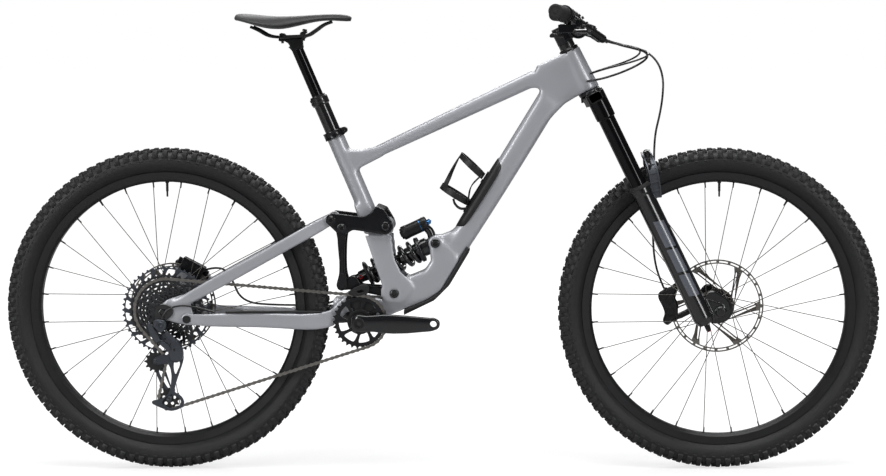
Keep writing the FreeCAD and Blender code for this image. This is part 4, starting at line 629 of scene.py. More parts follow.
def tube(line, radius, sides=12):
    """Points and faces of a tube along a line of points; its radius is in mm, or one for each point."""
    radii = radius if isinstance(radius, (list, tuple)) else [radius] * len(line)
    points = []
    faces = []
    way, side, over = crossways(line[1] - line[0])
    for index, centre in enumerate(line):
        ahead = (line[min(index + 1, len(line) - 1)] - line[max(index - 1, 0)]).normalized()
        side = (side - ahead * side.dot(ahead)).normalized()
        over = ahead.cross(side)
        for step in range(sides):
            turn = 2 * math.pi * step / sides
            points.append(centre + (side * math.cos(turn) + over * math.sin(turn)) * radii[index] * MM)
    for index in range(len(line) - 1):
        for step in range(sides):
            after = (step + 1) % sides
            faces.append((index * sides + step, index * sides + after, (index + 1) * sides + after,
                          (index + 1) * sides + step))
    faces.append(tuple(reversed(range(sides))))
    faces.append(tuple(range(len(points) - sides, len(points))))
    return points, faces


def smooth_line(points, share=12):
    """Points on a smooth curve through the given ones."""
    curve = bpy.data.curves.new("line", "CURVE")
    curve.dimensions = "3D"
    curve.resolution_u = share
    spline = curve.splines.new("BEZIER")
    spline.bezier_points.add(len(points) - 1)
    for knot, point in zip(spline.bezier_points, points):
        knot.co = point
        knot.handle_left_type = knot.handle_right_type = "AUTO"
    item = linked("line", curve)
    mesh = evaluated(item)
    line = [vertex.co.copy() for vertex in mesh.vertices]
    bpy.data.objects.remove(item)
    bpy.data.meshes.remove(mesh)
    return line


def both_sides(parts):
    """The parts, and the same mirrored to the other side of the bike."""
    mirrored = []
    for points, faces in parts:
        mirrored.append(([Vector((point[0], -point[1], point[2])) for point in points],
                         [tuple(reversed(face)) for face in faces]))
    return list(parts) + mirrored


def made(name, parts, material, body, slot, nodes=(), angle=30):
    """A finished piece gathered from parts."""
    return finished(gathered(name, parts, angle), material, body, nodes)


REAR = middle_of("rear_rim")
FRONT = middle_of("front_rim")
REAR.y = FRONT.y = 0.0
BB = middle_of("chainring")
BB.y = 0.0
GUIDE = middle_of("guide_pulley")
TENSION = middle_of("tension_pulley")
JOINTS = {joint["name"]: joint for joint in frame["record"]["behaviour"]["joints"]}


def pivot(joint):
    return Vector(JOINTS[joint]["pos_m"])


def shifted(anchor, x=0.0, y=0.0, z=0.0):
    """A point x, y, z mm from an anchor."""
    return anchor + Vector((x, y, z)) * MM


RACE = pivot("steer")
FORK_UP = Vector(JOINTS["steer"]["axis"])
FORK_FORE = Vector((FORK_UP.z, 0, -FORK_UP.x))
SEAT_UP = Vector(JOINTS["saddle_height"]["axis"])
HORST = pivot("horst_pivot")
MAIN = pivot("rear_travel")
ROCKER = pivot("rocker_pivot")
DROP_TOP = pivot("middle_link_pivot")
LOWER = pivot("yoke_pivot")
SHOCK_TOP = pivot("shock_pivot")
SHOCK_DOWN = -Vector(JOINTS["shock_stroke"]["axis"])
CAGE_PIVOT = pivot("cage_swing")


LEGS = fork_paint(FORK_UP, FRONT)


# ---------------------------------------------------------------- camera, then the cords

lens = bpy.data.cameras.new("camera")
camera = linked("camera", lens)
lens.lens = 88.2
lens.sensor_width = 36
camera.location = (0.25, -5.0, 1.0)
camera.rotation_euler = (math.radians(90 - 5.3), 0, 0)
lens.shift_x = -0.1225
bpy.context.scene.camera = camera

HOSE_RADIUS = 2.5
CABLE_RADIUS = 2.2


def cord_line(points):
    """The smooth line of a cord whose control points are given in metres."""
    curve = bpy.data.curves.new("route", "CURVE")
    curve.dimensions = "3D"
    curve.resolution_u = 8
    spline = curve.splines.new("NURBS")
    spline.points.add(len(points) - 1)
    for control, point in zip(spline.points, points):
        control.co = (*point, 1)
    spline.order_u = 3
    spline.use_endpoint_u = True
    item = linked("route", curve)
    mesh = evaluated(item)
    line = [vertex.co.copy() for vertex in mesh.vertices]
    bpy.data.objects.remove(item)
    bpy.data.meshes.remove(mesh)
    return line


def cord(name, points, radius, bodies, span=None, nodes=()):
    """One hose or cable whose ends both go into the bike."""
    line = cord_line(points)
    piece = gathered(name, [tube(line, radius)])
    finished(piece, HOSE, None, nodes)
    if span:
        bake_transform(piece)
    else:
        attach(piece, bodies)
    return piece


cord("front_brake_hose_run",
     ((0.3716, 0.1642, 0.9922), (0.390, 0.156, 0.985), (0.430, 0.138, 0.979), (0.470, 0.114, 0.968),
      (0.499, 0.090, 0.942), (0.511, 0.074, 0.903), (0.509, 0.066, 0.860), (0.502, 0.062, 0.818),
      (0.492, 0.060, 0.778), (0.489, 0.056, 0.738), (0.489, 0.050, 0.698), (0.488, 0.045, 0.656),
      (0.487, 0.043, 0.612), (0.486, 0.0425, 0.566), (0.487, 0.043, 0.521), (0.491, 0.045, 0.478),
      (0.501, 0.047, 0.441), (0.513, 0.048, 0.414)),
     HOSE_RADIUS, ("steering", "fork_slider"), ((0.49, 0.05, 0.90), (0.49, 0.05, 0.45)),
     ["front_brake_hose"])
cord("dropper_cable_run",
     ((0.2923, 0.2076, 1.0224), (0.293, 0.180, 1.0205), (0.318, 0.152, 1.010), (0.360, 0.132, 0.998),
      (0.404, 0.104, 0.984), (0.446, 0.064, 0.974), (0.472, 0.018, 0.966), (0.472, -0.022, 0.957),
      (0.444, -0.046, 0.946), (0.404, -0.050, 0.935), (0.368, -0.038, 0.926), (0.3389, -0.018, 0.9157)),
     CABLE_RADIUS, ("frame", "steering"), ((0.345, 0, 0.917), (0.44, 0, 0.965)), ["control_hoses"])
cord("rear_brake_line_run",
     ((0.3719, -0.1655, 0.9926), (0.398, -0.158, 0.982), (0.434, -0.142, 0.974), (0.462, -0.118, 0.966),
      (0.468, -0.088, 0.953), (0.448, -0.068, 0.937), (0.412, -0.060, 0.920), (0.374, -0.050, 0.907),
      (0.348, -0.038, 0.901), (0.331, -0.0305, 0.8985)),
     HOSE_RADIUS, ("frame", "steering"), ((0.34, -0.03, 0.90), (0.45, -0.09, 0.955)))
cord("shift_cable_run",
     ((0.2903, -0.2046, 1.0174), (0.291, -0.178, 1.015), (0.316, -0.150, 1.006), (0.358, -0.128, 0.994),
      (0.402, -0.096, 0.982), (0.436, -0.052, 0.976), (0.456, -0.006, 0.968), (0.448, 0.036, 0.954),
      (0.416, 0.054, 0.940), (0.378, 0.046, 0.928), (0.3389, 0.018, 0.9157)),
     CABLE_RADIUS, ("frame", "steering"), ((0.345, 0, 0.917), (0.43, 0, 0.965)))
cord("rear_brake_hose_run",
     ((-0.558, 0.055, 0.457), (-0.532, 0.054, 0.464), (-0.506, 0.052, 0.452), (-0.493, 0.052, 0.422),
      (-0.482, 0.056, 0.394), (-0.456, 0.062, 0.3775), (-0.418, 0.0615, 0.374), (-0.372, 0.0566, 0.3732),
      (-0.326, 0.0508, 0.3736), (-0.284, 0.049, 0.375), (-0.250, 0.049, 0.386), (-0.216, 0.0495, 0.400),
      (-0.182, 0.050, 0.409), (-0.152, 0.046, 0.411), (-0.132, 0.0415, 0.410)),
     HOSE_RADIUS, ("lower_stay", "upper_stay"), ((-0.44, 0.06, 0.38), (-0.53, 0.054, 0.46)),
     ["rear_hoses"])
cord("rear_shift_cable_run",
     ((-0.637, -0.093, 0.36005), (-0.632, -0.0935, 0.375), (-0.616, -0.095, 0.386), (-0.594, -0.096, 0.391),
      (-0.569, -0.094, 0.3885), (-0.544, -0.089, 0.382), (-0.520, -0.0825, 0.374)),
     CABLE_RADIUS, "upper_stay")


# ---------------------------------------------------------------- wheels

TYRE_RADIUS = (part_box("front_tyre")[1].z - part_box("front_tyre")[0].z) / 2 / MM
CASING = (
    (313, 13.5), (317, 14.5), (321, 19), (326, 23.8), (332, 27.0), (339, 28.6), (346, 28.6), (353, 26.8),
    (358.5, 23.6), (362.0, 19), (364.8, 13), (366.2, 7), (366.8, 0))


def block_of(theta, section, long, centre, lean=0.0):
    """One tread block: a (radius, y, share) section in mm, drawn out along the tyre; share tapers it."""
    points = []
    for side in (-1, 1):
        for radius, y, share in section:
            turn = theta + (side * long / 2 * share + lean * (abs(y) - abs(section[0][1]))) / radius
            points.append(centre + Vector((radius * math.cos(turn), y, radius * math.sin(turn))) * MM)
    count = len(section)
    faces = [tuple(range(count)), tuple(reversed(range(count, 2 * count)))]
    for index in range(count):
        after = (index + 1) % count
        faces.append((index, index + count, after + count, after))
    return points, faces


def tread(centre):
    """Tread blocks of one tyre: paired centre blocks, slanted middle blocks and tall shoulder blocks."""
    parts = []
    count = 100
    top = TYRE_RADIUS - 0.2
    step = 2 * math.pi / count
    for index in range(count):
        theta = step * index
        even = index % 2 == 0
        for side in (-1, 1):
            out = 30.5 if even else 29.6
            shoulder = (
                (347.5, 26.5, 1.06), (351.5, out, 1.0), (360, out - 0.4, 0.96), (366.6, out - 3.2, 0.86),
                (368.2, 21.8, 0.84), (361, 18.5, 1.02))
            parts.append(block_of(theta, [(r, side * y, s) for r, y, s in shoulder], 12.0, centre, 0.1))
            rib = ((343.0, 28.2, 1.0), (344.2, 29.8, 0.9), (346.4, 29.6, 0.9), (347.0, 27.9, 1.0))
            parts.append(block_of(theta + step / 2, [(r, side * y, s) for r, y, s in rib], 8.0, centre))
            inner, outer = (2.2, 10.6) if even else (4.6, 12.0)
            middle = ((364, inner, 1.05), (top, inner + 0.5, 0.88), (top - 0.7, outer - 0.6, 0.88),
                      (362, outer, 1.05))
            parts.append(block_of(theta, [(r, side * y, s) for r, y, s in middle], 10.5, centre,
                                  side * 0.1 if even else -side * 0.1))
            slanted = (
                (361, 13.2, 1.05), (top - 2.2, 13.6, 0.86), (top - 3.9, 18.4, 0.86), (358, 19.2, 1.05))
            parts.append(
                block_of(theta + step / 2, [(r, side * y, s) for r, y, s in slanted], 9.6, centre, 0.5))
    return parts


def tyre(node, centre, body):
    profile = list(CASING) + [(radius, -y) for radius, y in reversed(CASING[:-1])]
    casing = spun(node + "_casing", profile + [(314, -10), (314, 10)], centre, 240)
    # Painted sheen: the casing's groove tone (0.11, 0.11, 0.12) makes it pale between the knobs.
    finished(
        casing, tyre_rubber(node + "_casing_rubber", centre, (0.11, 0.11, 0.12)), body,
        [node])
    blocks = gathered(node + "_tread", tread(centre), 20)
    edge = blocks.modifiers.new("edges", "BEVEL")
    edge.width = 0.5 * MM
    edge.segments = 1
    edge.limit_method = "ANGLE"
    finished(baked(blocks, 40), tyre_rubber(node + "_rubber", centre), body)


def nipples(node, centre, body):
    """Spoke nipples and the valve, at the places where the spokes meet the rim."""
    ends = {}
    for vertex in frame["nodes"][node].data.vertices:
        offset = vertex.co - centre
        reach = math.hypot(offset.x, offset.z)
        if reach > 0.288:
            ends.setdefault(round(math.degrees(math.atan2(offset.z, offset.x)) / 4), []).append(vertex.co)
    parts = []
    for spots in ends.values():
        foot = sum(spots, Vector()) / len(spots)
        inward = Vector((centre.x - foot.x, 0, centre.z - foot.z)).normalized()
        parts.append(
            lathe(
                foot - inward * 4 * MM, inward,
                ((0, 0), (2.9, 0), (2.7, 4), (1.9, 5.5), (1.7, 15), (1.2, 16.5), (0, 16.5)), 10))
    stem = centre + Vector((0, 0, 0.294))
    parts.append(
        lathe(
            stem, (0, 0, -1),
            ((0, -2), (4.4, -2), (4.4, 3), (3, 3.4), (3, 22), (2.2, 23), (2.2, 34), (1.4, 35), (0, 35)),
            14))
    made(body + "_nipples", parts, SATIN, body, "black_anodised")


def sector(centre, inner, outer, start, stop, lean=0.0, steps=6):
    """A window between two radii and two angles, whose inner side is turned by lean."""
    outline = [polar(centre, outer, start + (stop - start) * index / steps) for index in range(steps + 1)]
    outline += [
        polar(centre, inner, stop + lean - (stop - start) * index / steps) for index in range(steps + 1)]
    return outline


def rotor(node, centre, body):
    """A brake disc of two thin rings with long slots between, and slanted arms to a dark carrier."""
    low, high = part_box(node)
    outer = (high.x - low.x) / 2 / MM + (4 if node == "front_rotor" else 0)
    here = in_mm(centre)
    loops = [ring_loop(here, outer, 180), ring_loop(here, 33, 60)]
    slots = 24
    for index in range(slots):
        start = 2 * math.pi * index / slots
        loops.append(eased(sector(here, outer - 7.0, outer - 3.4, start + 0.02, start + 0.222, 0.0, 5), 1))
    arms = 12
    step = 2 * math.pi / arms
    ends = []
    for index in range(arms + 1):
        pair = index // 2 * 2 * step
        ends.append((pair - 0.06, pair - 0.90) if index % 2 == 0 else (pair + 0.06, pair - 0.46))
    reach = outer - 9.8
    for (outside, inside), (next_outside, next_inside) in zip(ends, ends[1:]):
        thin = 1.9 / reach
        broad = 2.5 / 41
        if next_outside - outside < 0.2:
            outside, next_outside, trim = outside + 0.045, next_outside - 0.045, reach - 9
        else:
            outside, next_outside, trim = outside + thin, next_outside - thin, reach
        window = [polar(here, trim, outside + (next_outside - outside) * place / 6) for place in range(7)]
        inside, next_inside = inside + broad, next_inside - broad
        window += [polar(here, 41, next_inside - (next_inside - inside) * place / 4) for place in range(5)]
        loops.append(eased(window, 1))
    points, faces = flat_mesh(loops, low.y / MM, high.y / MM, 0.15)
    steel = rotor_steel(node + "_steel", centre)
    made(node + "_disc", [(points, faces)], steel, body, "steel", [node], 35)
    middle = (low.y + high.y) / 2
    carrier = [ring_loop(here, 36.5, 90), ring_loop(here, 19.2, 48)]
    for index in range(12):
        start = step * index
        carrier.append(eased(sector(here, 24, 30.5, start + 0.09, start + step - 0.09, 0.1, 4), 1))
    parts = [flat_mesh(carrier, middle / MM - 2.6, middle / MM + 2.6, 0.5)]
    for index in range(6):
        spot = polar(here, 35, step * 2 * index + 0.2)
        foot = Vector((spot[0] * MM, middle, spot[1] * MM))
        parts.append(
            lathe(
                foot + Vector((0, 3.2 * MM, 0)), (0, -1, 0), ((0, 0), (3.2, 0), (3.2, 6.4), (0, 6.4)), 14)
        )
    made(node + "_carrier", parts, SATIN, body, "black_anodised")


for end, centre in (("front", FRONT), ("rear", REAR)):
    tyre(end + "_tyre", centre, end + "_wheel")
    nipples(end + "_spokes", centre, end + "_wheel")
    rotor(end + "_rotor", centre, end + "_wheel")


# ---------------------------------------------------------------- cassette, chain and chainring

COGS = (50, 42, 36, 32, 28, 24, 21, 18, 16, 14, 12, 10)
COG_STEP = 3.5
COG_THICK = 1.7
PITCH = 12.7


def pitch_radius(teeth):
    return PITCH / 2 / math.sin(math.pi / teeth)


def teeth_loop(centre, teeth, tip, root, turn=0.0):
    """The outline of a toothed wheel, its tips and hollows above and below the pitch line."""
    radius = pitch_radius(teeth)
    step = 2 * math.pi / teeth
    loop = []
    for index in range(teeth):
        middle = index * step + turn
        for share, reach in ((-0.5, -root), (-0.30, -root + 0.6), (-0.17, -0.3), (-0.07, tip), (0.07, tip),
                             (0.17, -0.3), (0.30, -root + 0.6)):
            loop.append(polar(centre, radius + reach, middle + share * step))
    return loop


def cassette():
    low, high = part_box("cassette")
    here = in_mm(REAR)
    face = high.y / MM
    large = []
    small = []
    for index, teeth in enumerate(COGS):
        y = face - index * COG_STEP
        after = COGS[index + 1] if index + 1 < len(COGS) else 8
        inner = max(pitch_radius(after) - 8.5, 13.6)
        loops = [teeth_loop(here, teeth, 1.4, 3.6, 0.13 * index), ring_loop(here, inner, 72)]
        root = pitch_radius(teeth) - 6.2
        foot = max(pitch_radius(after) - 5.0, 16.5)
        if root - foot > 1.8:
            windows = 20 if teeth > 40 else 16 if teeth > 25 else 12
            step = 2 * math.pi / windows
            for count in range(windows):
                start = count * step + 0.21 * index
                loops.append(
                    eased(sector(here, foot, root, start + step * 0.17, start + step * 0.83, 0.08, 3), 1))
        parts = small if index else large
        parts.append(flat_mesh(loops, y - COG_THICK, y, 0.2))
        if index + 1 < len(COGS):
            pins = 20 if teeth > 40 else 14
            reach = max(pitch_radius(after) - 6.6, 14.8)
            for count in range(pins):
                spot = polar(here, reach, 2 * math.pi * (count + 0.5) / pins + 0.1 * index)
                base = Vector((spot[0] * MM, (y - COG_THICK + 0.2) * MM, spot[1] * MM))
                small.append(
                    lathe(base, (0, -1, 0), ((0, 0), (1.2, 0), (1.2, COG_STEP - COG_THICK), (0, 2.2)), 8))
    made("largest_cog", large, SLATE, "cassette", "chain_steel", ["cassette"], 30)
    end = low.y / MM
    small.append(
        lathe(
            Vector((REAR.x, end * MM, REAR.z)), (0, 1, 0),
            ((13.2, 0), (15.6, 0), (17.0, 0.8), (17.0, 2.2), (14.5, 2.6), (14.0, 30), (13.2, 30)), 48,
            True))
    made("cogs", small, COG, "cassette", "chain_steel", (), 30)


cassette()

RING_TEETH = 30
COG_LINE = (GUIDE.y / MM)
RING_LINE = middle_of("chainring").y / MM
CHAIN_COG = 36
COG_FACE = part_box("cassette")[1].y / MM - COGS.index(CHAIN_COG) * COG_STEP - COG_THICK / 2
PULLEY_TEETH = 12


def chain_path():
    """The closed line of the chain, in mm: its side view, and the y of each point."""
    wheels = (
        (in_mm(BB), pitch_radius(RING_TEETH), 1, RING_LINE),
        (in_mm(REAR), pitch_radius(CHAIN_COG), 1, COG_FACE),
        (in_mm(GUIDE), pitch_radius(PULLEY_TEETH), -1, COG_LINE),
        (in_mm(TENSION), pitch_radius(PULLEY_TEETH), 1, COG_LINE))
    runs = []
    for index, (centre, radius, hand, y) in enumerate(wheels):
        other, other_radius, other_hand, other_y = wheels[(index + 1) % 4]
        gap = Vector((other[0] - centre[0], other[1] - centre[1]))
        angle = math.atan2(gap.y, gap.x) - math.asin(
            (other_hand * other_radius - hand * radius) / gap.length)
        right = Vector((math.sin(angle), -math.cos(angle)))
        runs.append(
            (Vector(centre) + right * hand * radius, Vector(other) + right * other_hand * other_radius))
    line = []
    for index, (centre, radius, hand, y) in enumerate(wheels):
        arrive = runs[index - 1][1] - Vector(centre)
        leave = runs[index][0] - Vector(centre)
        first = math.atan2(arrive.y, arrive.x)
        sweep = (math.atan2(leave.y, leave.x) - first) * hand % (2 * math.pi)
        steps = max(4, int(sweep * radius / 1.5))
        for step in range(steps):
            spot = polar(centre, radius, first + hand * sweep * step / steps)
            line.append(Vector((spot[0], y, spot[1])))
        start, stop = runs[index]
        other_y = wheels[(index + 1) % 4][3]
        steps = int((stop - start).length / 2)
        for step in range(steps):
            share = step / steps
            spot = start.lerp(stop, share)
            line.append(Vector((spot.x, y + (other_y - y) * share, spot.y)))
    return line


def even_steps(line, pitch):
    """Points a pitch apart along a closed line, an even number of them."""
    reach = [0.0]
    for here, ahead in zip(line, line[1:] + line[:1]):
        reach.append(reach[-1] + (ahead - here).length)
    count = int(round(reach[-1] / pitch / 2)) * 2
    spots = []
    index = 0
    for step in range(count):
        target = reach[-1] * step / count
        while reach[index + 1] < target:
            index += 1
        share = (target - reach[index]) / (reach[index + 1] - reach[index])
        spots.append(line[index].lerp(line[(index + 1) % len(line)], share))
    return spots


def side_plate(first, second, low, high, tall):
    """One waisted link plate between two pins, from y = low to high beside them."""
    along = (second - first)
    length = along.length
    along = along / length
    over = Vector((-along.z, 0, along.x)).normalized()
    outline = []
    for end, base, way in ((1, second, 1), (-1, first, -1)):
        for step in range(7):
            turn = math.pi * (step / 6 - 0.5)
            outline.append(
                base + along * (way * math.cos(turn) * tall) + over * (way * math.sin(turn) * tall))
        outline.append((first + second) / 2 + over * (way * tall * 0.66))
    points = [point + Vector((0, low, 0)) for point in outline] + [
        point + Vector((0, high, 0)) for point in outline]
    count = len(outline)
    faces = [tuple(range(count)), tuple(reversed(range(count, 2 * count)))]
    for index in range(count):
        after = (index + 1) % count
        faces.append((index, index + count, after + count, after))
    return [point * MM for point in points], faces


def chain():
    spots = even_steps(chain_path(), PITCH)
    pieces = {"front": [], "rear": []}
    for index, spot in enumerate(spots):
        ahead = spots[(index + 1) % len(spots)]
        parts = pieces["front" if (spot.x + ahead.x) / 2 > -400 else "rear"]
        near, far = (1.62, 2.4) if index % 2 else (0.95, 1.6)
        for side in (-1, 1):
            low, high = sorted((side * near, side * far))
            parts.append(side_plate(spot, ahead, low, high, 4.0 if index % 2 else 3.8))
        pin = spot * MM
        parts.append(
            lathe(pin - Vector((0, 2.6 * MM, 0)), (0, 1, 0), ((0, 0), (1.7, 0), (1.7, 5.2), (0, 5.2)), 8))
        parts.append(
            lathe(pin - Vector((0, 0.9 * MM, 0)), (0, 1, 0), ((0, 0), (3.2, 0), (3.2, 1.8), (0, 1.8)), 10)
        )
    front = made("chain_front", pieces["front"], CHAIN, None, "chain_steel", ["chain"], 30)
    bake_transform(front)
    rear = made("chain_rear", pieces["rear"], CHAIN, None, "chain_steel", (), 30)
    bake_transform(rear)


chain()


def chainring():
    low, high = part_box("chainring")
    here = in_mm(BB)
    loops = [teeth_loop(here, RING_TEETH, 1.9, 3.7), ring_loop(here, 20.3, 60)]
    for index in range(8):
        start = math.radians(40 + 45 * index)
        loops.append(eased(sector(here, 29, 48.5, start, start + math.radians(33), 0.12, 4), 2))
    ring = made(
        "chainring_plate", [flat_mesh(loops, low.y / MM + 0.1, high.y / MM - 0.1, 0.4)], FORGED, "crank",
        "black_anodised", ["chainring"], 30)
    parts = []
    for index in range(8):
        spot = polar(here, 24.6, math.radians(11 + 45 * index))
        base = Vector((spot[0] * MM, low.y + 0.2 * MM, spot[1] * MM))
        parts.append(button(base, (0, -1, 0), 3.1, 1.6, 0.6))
    parts.append(lathe(Vector((BB.x, low.y + 1.0 * MM, BB.z)), (0, -1, 0),
                       ((20.6, 0), (29.0, 0), (28.4, 1.8), (22.5, 2.4), (20.6, 2.0)), 60, True))
    made("chainring_bolts", parts, SATIN, "crank", "black_anodised")


chainring()


# ---------------------------------------------------------------- crank arms

def crank_arm(side):
    """A forged arm with a crowned outer face, swelling at the spindle and round at the pedal eye."""
    eye_x = (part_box("crank_arms")[1].x - BB.x) / MM - 15
    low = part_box("crank_arms")[0].y / MM
    inner = -low - 17
    rings = []
    stations = (
        (-19.5, 5, 9, 4, 0), (-18.2, 11, 14, 8, 0), (-13, 17, 19.5, 14, 0), (0, 20, 20.5, 17, 0),
        (18, 18, 19.5, 17, 0), (34, 19, 19.5, 16.5, 0), (55, 21, 22.5, 16, 1), (80, 20.5, 23.5, 15, 2),
        (110, 18.5, 22.5, 14, 2), (140, 16, 19.5, 13.2, 2), (162, 14.2, 17.4, 13, 2),
        (eye_x, 14.5, 15.5, 13, 1), (eye_x + 8, 12, 12.5, 12.6, 0), (eye_x + 13, 7.5, 8, 11, 0),
        (eye_x + 14.6, 3, 3, 8, 0))
    for x, above, below, thick, crown in stations:
        ring = []
        drop = -0.7 / 57.3 * x
        for step in range(28):
            turn = 2 * math.pi * step / 28
            tall = math.copysign(abs(math.sin(turn)) ** 0.62, math.sin(turn))
            deep = math.copysign(abs(math.cos(turn)) ** 0.5, math.cos(turn))
            z = tall * (above if tall > 0 else below) + drop
            y = inner + thick / 2 + deep * thick / 2
            ring.append(Vector((BB.x + side * x * MM, -side * y * MM, BB.z + side * z * MM)))
        rings.append(ring)
    arm = sections_skin("arm", rings)
    eye = Vector((BB.x + side * eye_x * MM, 0, BB.z - side * (0.7 / 57.3 * eye_x) * MM))
    drill = gathered("drill", [lathe(eye, (0, -side, 0), ((0, 60), (7.6, 60), (7.6, 110), (0, 110)), 40)])
    bore = arm.modifiers.new("bore", "BOOLEAN")
    bore.object = drill
    bore.solver = "EXACT"
    baked(arm, 40)
    bpy.data.objects.remove(drill)
    return arm, eye, inner


def cranks():
    for side, hand in ((1, "right"), (-1, "left")):
        arm, eye, inner = crank_arm(side)
        arm.name = hand + "_crank_arm"
        finished(arm, GLOSS, "crank", ["crank_arms"] if side > 0 else ())
        out = Vector((0, -side, 0))
        face = BB + out * (inner + 16.5) * MM
        parts = [
            lathe(
                face - out * 2 * MM, out, ((10, 0), (12.6, 0), (12.6, 2.6), (11.6, 3.2), (10, 3.2)), 40,
                True),
            lathe(
                face - out * 4 * MM, out,
                (
                    (0, 0), (10.2, 0), (10.2, 4.2), (9.2, 5.0), (6.2, 5.0), (5.2, 4.6, True),
                    (5.2, 1.0, True), (0, 1.0)),
                42)]
        made(hand + "_crank_bolt", parts, SATIN, "crank", "black_anodised")
        ring = [
            lathe(
                eye + out * (inner - 0.6) * MM, out, ((7.7, 0), (10.4, 0), (10.4, 14.2), (7.7, 14.2)), 36,
                True)]
        made(hand + "_pedal_bush", ring, FORGED, "crank", "black_anodised")
    spindle = [
        lathe(BB - Vector((0, 0.072, 0)), (0, 1, 0), ((0, 0), (14.8, 0), (14.8, 144), (0, 144)), 40),
        lathe(
            BB - Vector((0, 0.0715, 0)), (0, 1, 0), ((14.8, 0), (20, 0), (20, 16.5), (14.8, 17)), 48, True
        ),
        lathe(
            BB + Vector((0, 0.0625, 0)), (0, 1, 0), ((14.8, 0), (20, 0), (20, 8.5), (14.8, 8.5)), 48, True
        )]
    made("spindle", spindle, SATIN, "crank", "black_anodised")


cranks()


# ---------------------------------------------------------------- frame, stays and links

for node, voxel, rounds, fairing, material, slot in (
        ("front_triangle", 2.2, 14, 110, SILVER, "silver_paint"),
        ("chainstay", 1.6, 12, 50, SILVER, "silver_paint"),
        ("seatstay", 1.6, 12, 40, SILVER, "silver_paint"),
        ("rocker_link", 1.3, 3, 14, FORGED, "black_anodised"),
        ("shock_link", 1.2, 4, 0, FORGED, "black_anodised"),
        ("fork_lowers", 1.5, 4, 0, LEGS, "black_paint"),
        ("fork_upper", 1.3, 3, 0, STANCHION, "stanchion_black"),
        ("stem", 1.2, 4, 0, FORGED, "black_anodised"),
        ("down_tube_guard", 1.3, 16, 12, PLASTIC, "black_plastic"),
        ("chainstay_guard", 0.9, 3, 0, PLASTIC, "soft_rubber"),
        ("control_clamps", 1.0, 4, 0, FORGED, "black_anodised"),
        ("brake_lever_left", 0.8, 4, 0, FORGED, "black_anodised"),
        ("brake_lever_right", 0.8, 4, 0, FORGED, "black_anodised"),
        ("rear_caliper", 0.9, 3, 0, FORGED, "black_anodised")):
    softened(node, voxel, rounds, material, fairing)


def drop_link():
    """Two forked legs, wide at the rocker and narrow at the foot, with a web between them."""
    foot = Vector((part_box("drop_link")[0].x + 12.7 * MM, 0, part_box("drop_link")[0].z + 13.0 * MM))
    outline = (
        (-8, 143), (1, 147.5), (9, 143), (12.4, 134), (10.5, 118), (7.6, 98), (6.4, 60), (7.0, 28),
        (12.6, 8), (10.5, -7), (0, -13.0), (-9, -9.5), (-13.0, 0), (-11.0, 9), (-7.2, 22), (-5.6, 34),
        (-5.6, 64), (-7.0, 92), (-10, 112), (-13, 128), (-13, 138))
    loops = [about(foot, outline, 2)]
    pocket = about(foot, ((-3.2, 34), (-3.4, 66), (-1.4, 88), (3.4, 88), (5.0, 66), (4.8, 34), (1, 28)), 2)
    legs = both_sides([flat_mesh(loops, 23.7, 28.6, 0.9), flat_mesh(loops + [pocket], 28.4, 31.0, 0.9)])
    web = flat_mesh(
        [about(foot, ((-11, 112), (-5, 40), (-2, 40), (-1, 100), (4, 118), (-6, 124)), 2)], -24, 24, 0.8)
    pin = lathe(
        foot - Vector((0, 0.0328, 0)), (0, 1, 0),
        ((0, 0), (6.2, 0), (6.8, 1), (6.8, 64.6), (6.2, 65.6), (0, 65.6)), 28)
    made("drop_link_arms", legs + [web, pin], FORGED, "middle_link", "black_anodised", ["drop_link"], 35)


drop_link()


def pivot_bolts():
    """Socket bolts and washers in the ends of the suspension pivots."""
    for name, anchor, face, radius, body in (
            ("main_pivot_bolts", MAIN, 39.5, 8.2, "frame"),
            ("upper_shock_bolts", SHOCK_TOP, 33.8, 8.6, "frame"),
            ("lower_pivot_bolts", LOWER, 38.6, 8.2, "frame"),
            ("rocker_bolts", ROCKER, 48.4, 8.4, "frame"),
            ("horst_bolts", HORST, 91.4, 7.2, "upper_stay"),
            ("drop_bolts", DROP_TOP, 48.3, 6.8, "rocker"),
            ("stay_bolts", pivot("rocker_pivot") + Vector((-124.5, 0, 16)) * MM, 48.3, 6.8, "rocker")):
        parts = []
        for side in (-1, 1):
            foot = anchor + Vector((0, side * face * MM, 0))
            out = (0, side, 0)
            parts.append(button(foot, out, radius, 1.6, 6))
            parts.append(lathe(foot, out, ((radius + 0.2, -5), (radius + 1.9, -5), (radius + 1.9, 0.2),
                                           (radius + 1.2, 0.9), (radius + 0.2, 0.9)), 40, True))
        if body == "frame":
            parts.append(lathe(anchor - Vector((0, (face - 2) * MM, 0)), (0, 1, 0),
                               ((0, 0), (5.8, 0), (5.8, 2 * face - 4), (0, 2 * face - 4)), 24))
        made(name, parts, GLOSS, body, "black_anodised", ["frame_bolts"] if anchor is ROCKER else ())


pivot_bolts()


# ---------------------------------------------------------------- shock

def along_shock(distance, over=0.0, side=0.0):
    """A point on the shock's line, so far from its upper eye and above it, in mm."""
    above = Vector((-SHOCK_DOWN.z, 0, SHOCK_DOWN.x))
    if above.z < 0:
        above = -above
    return SHOCK_TOP + (SHOCK_DOWN * distance + above * over + Vector((0, side, 0))) * MM


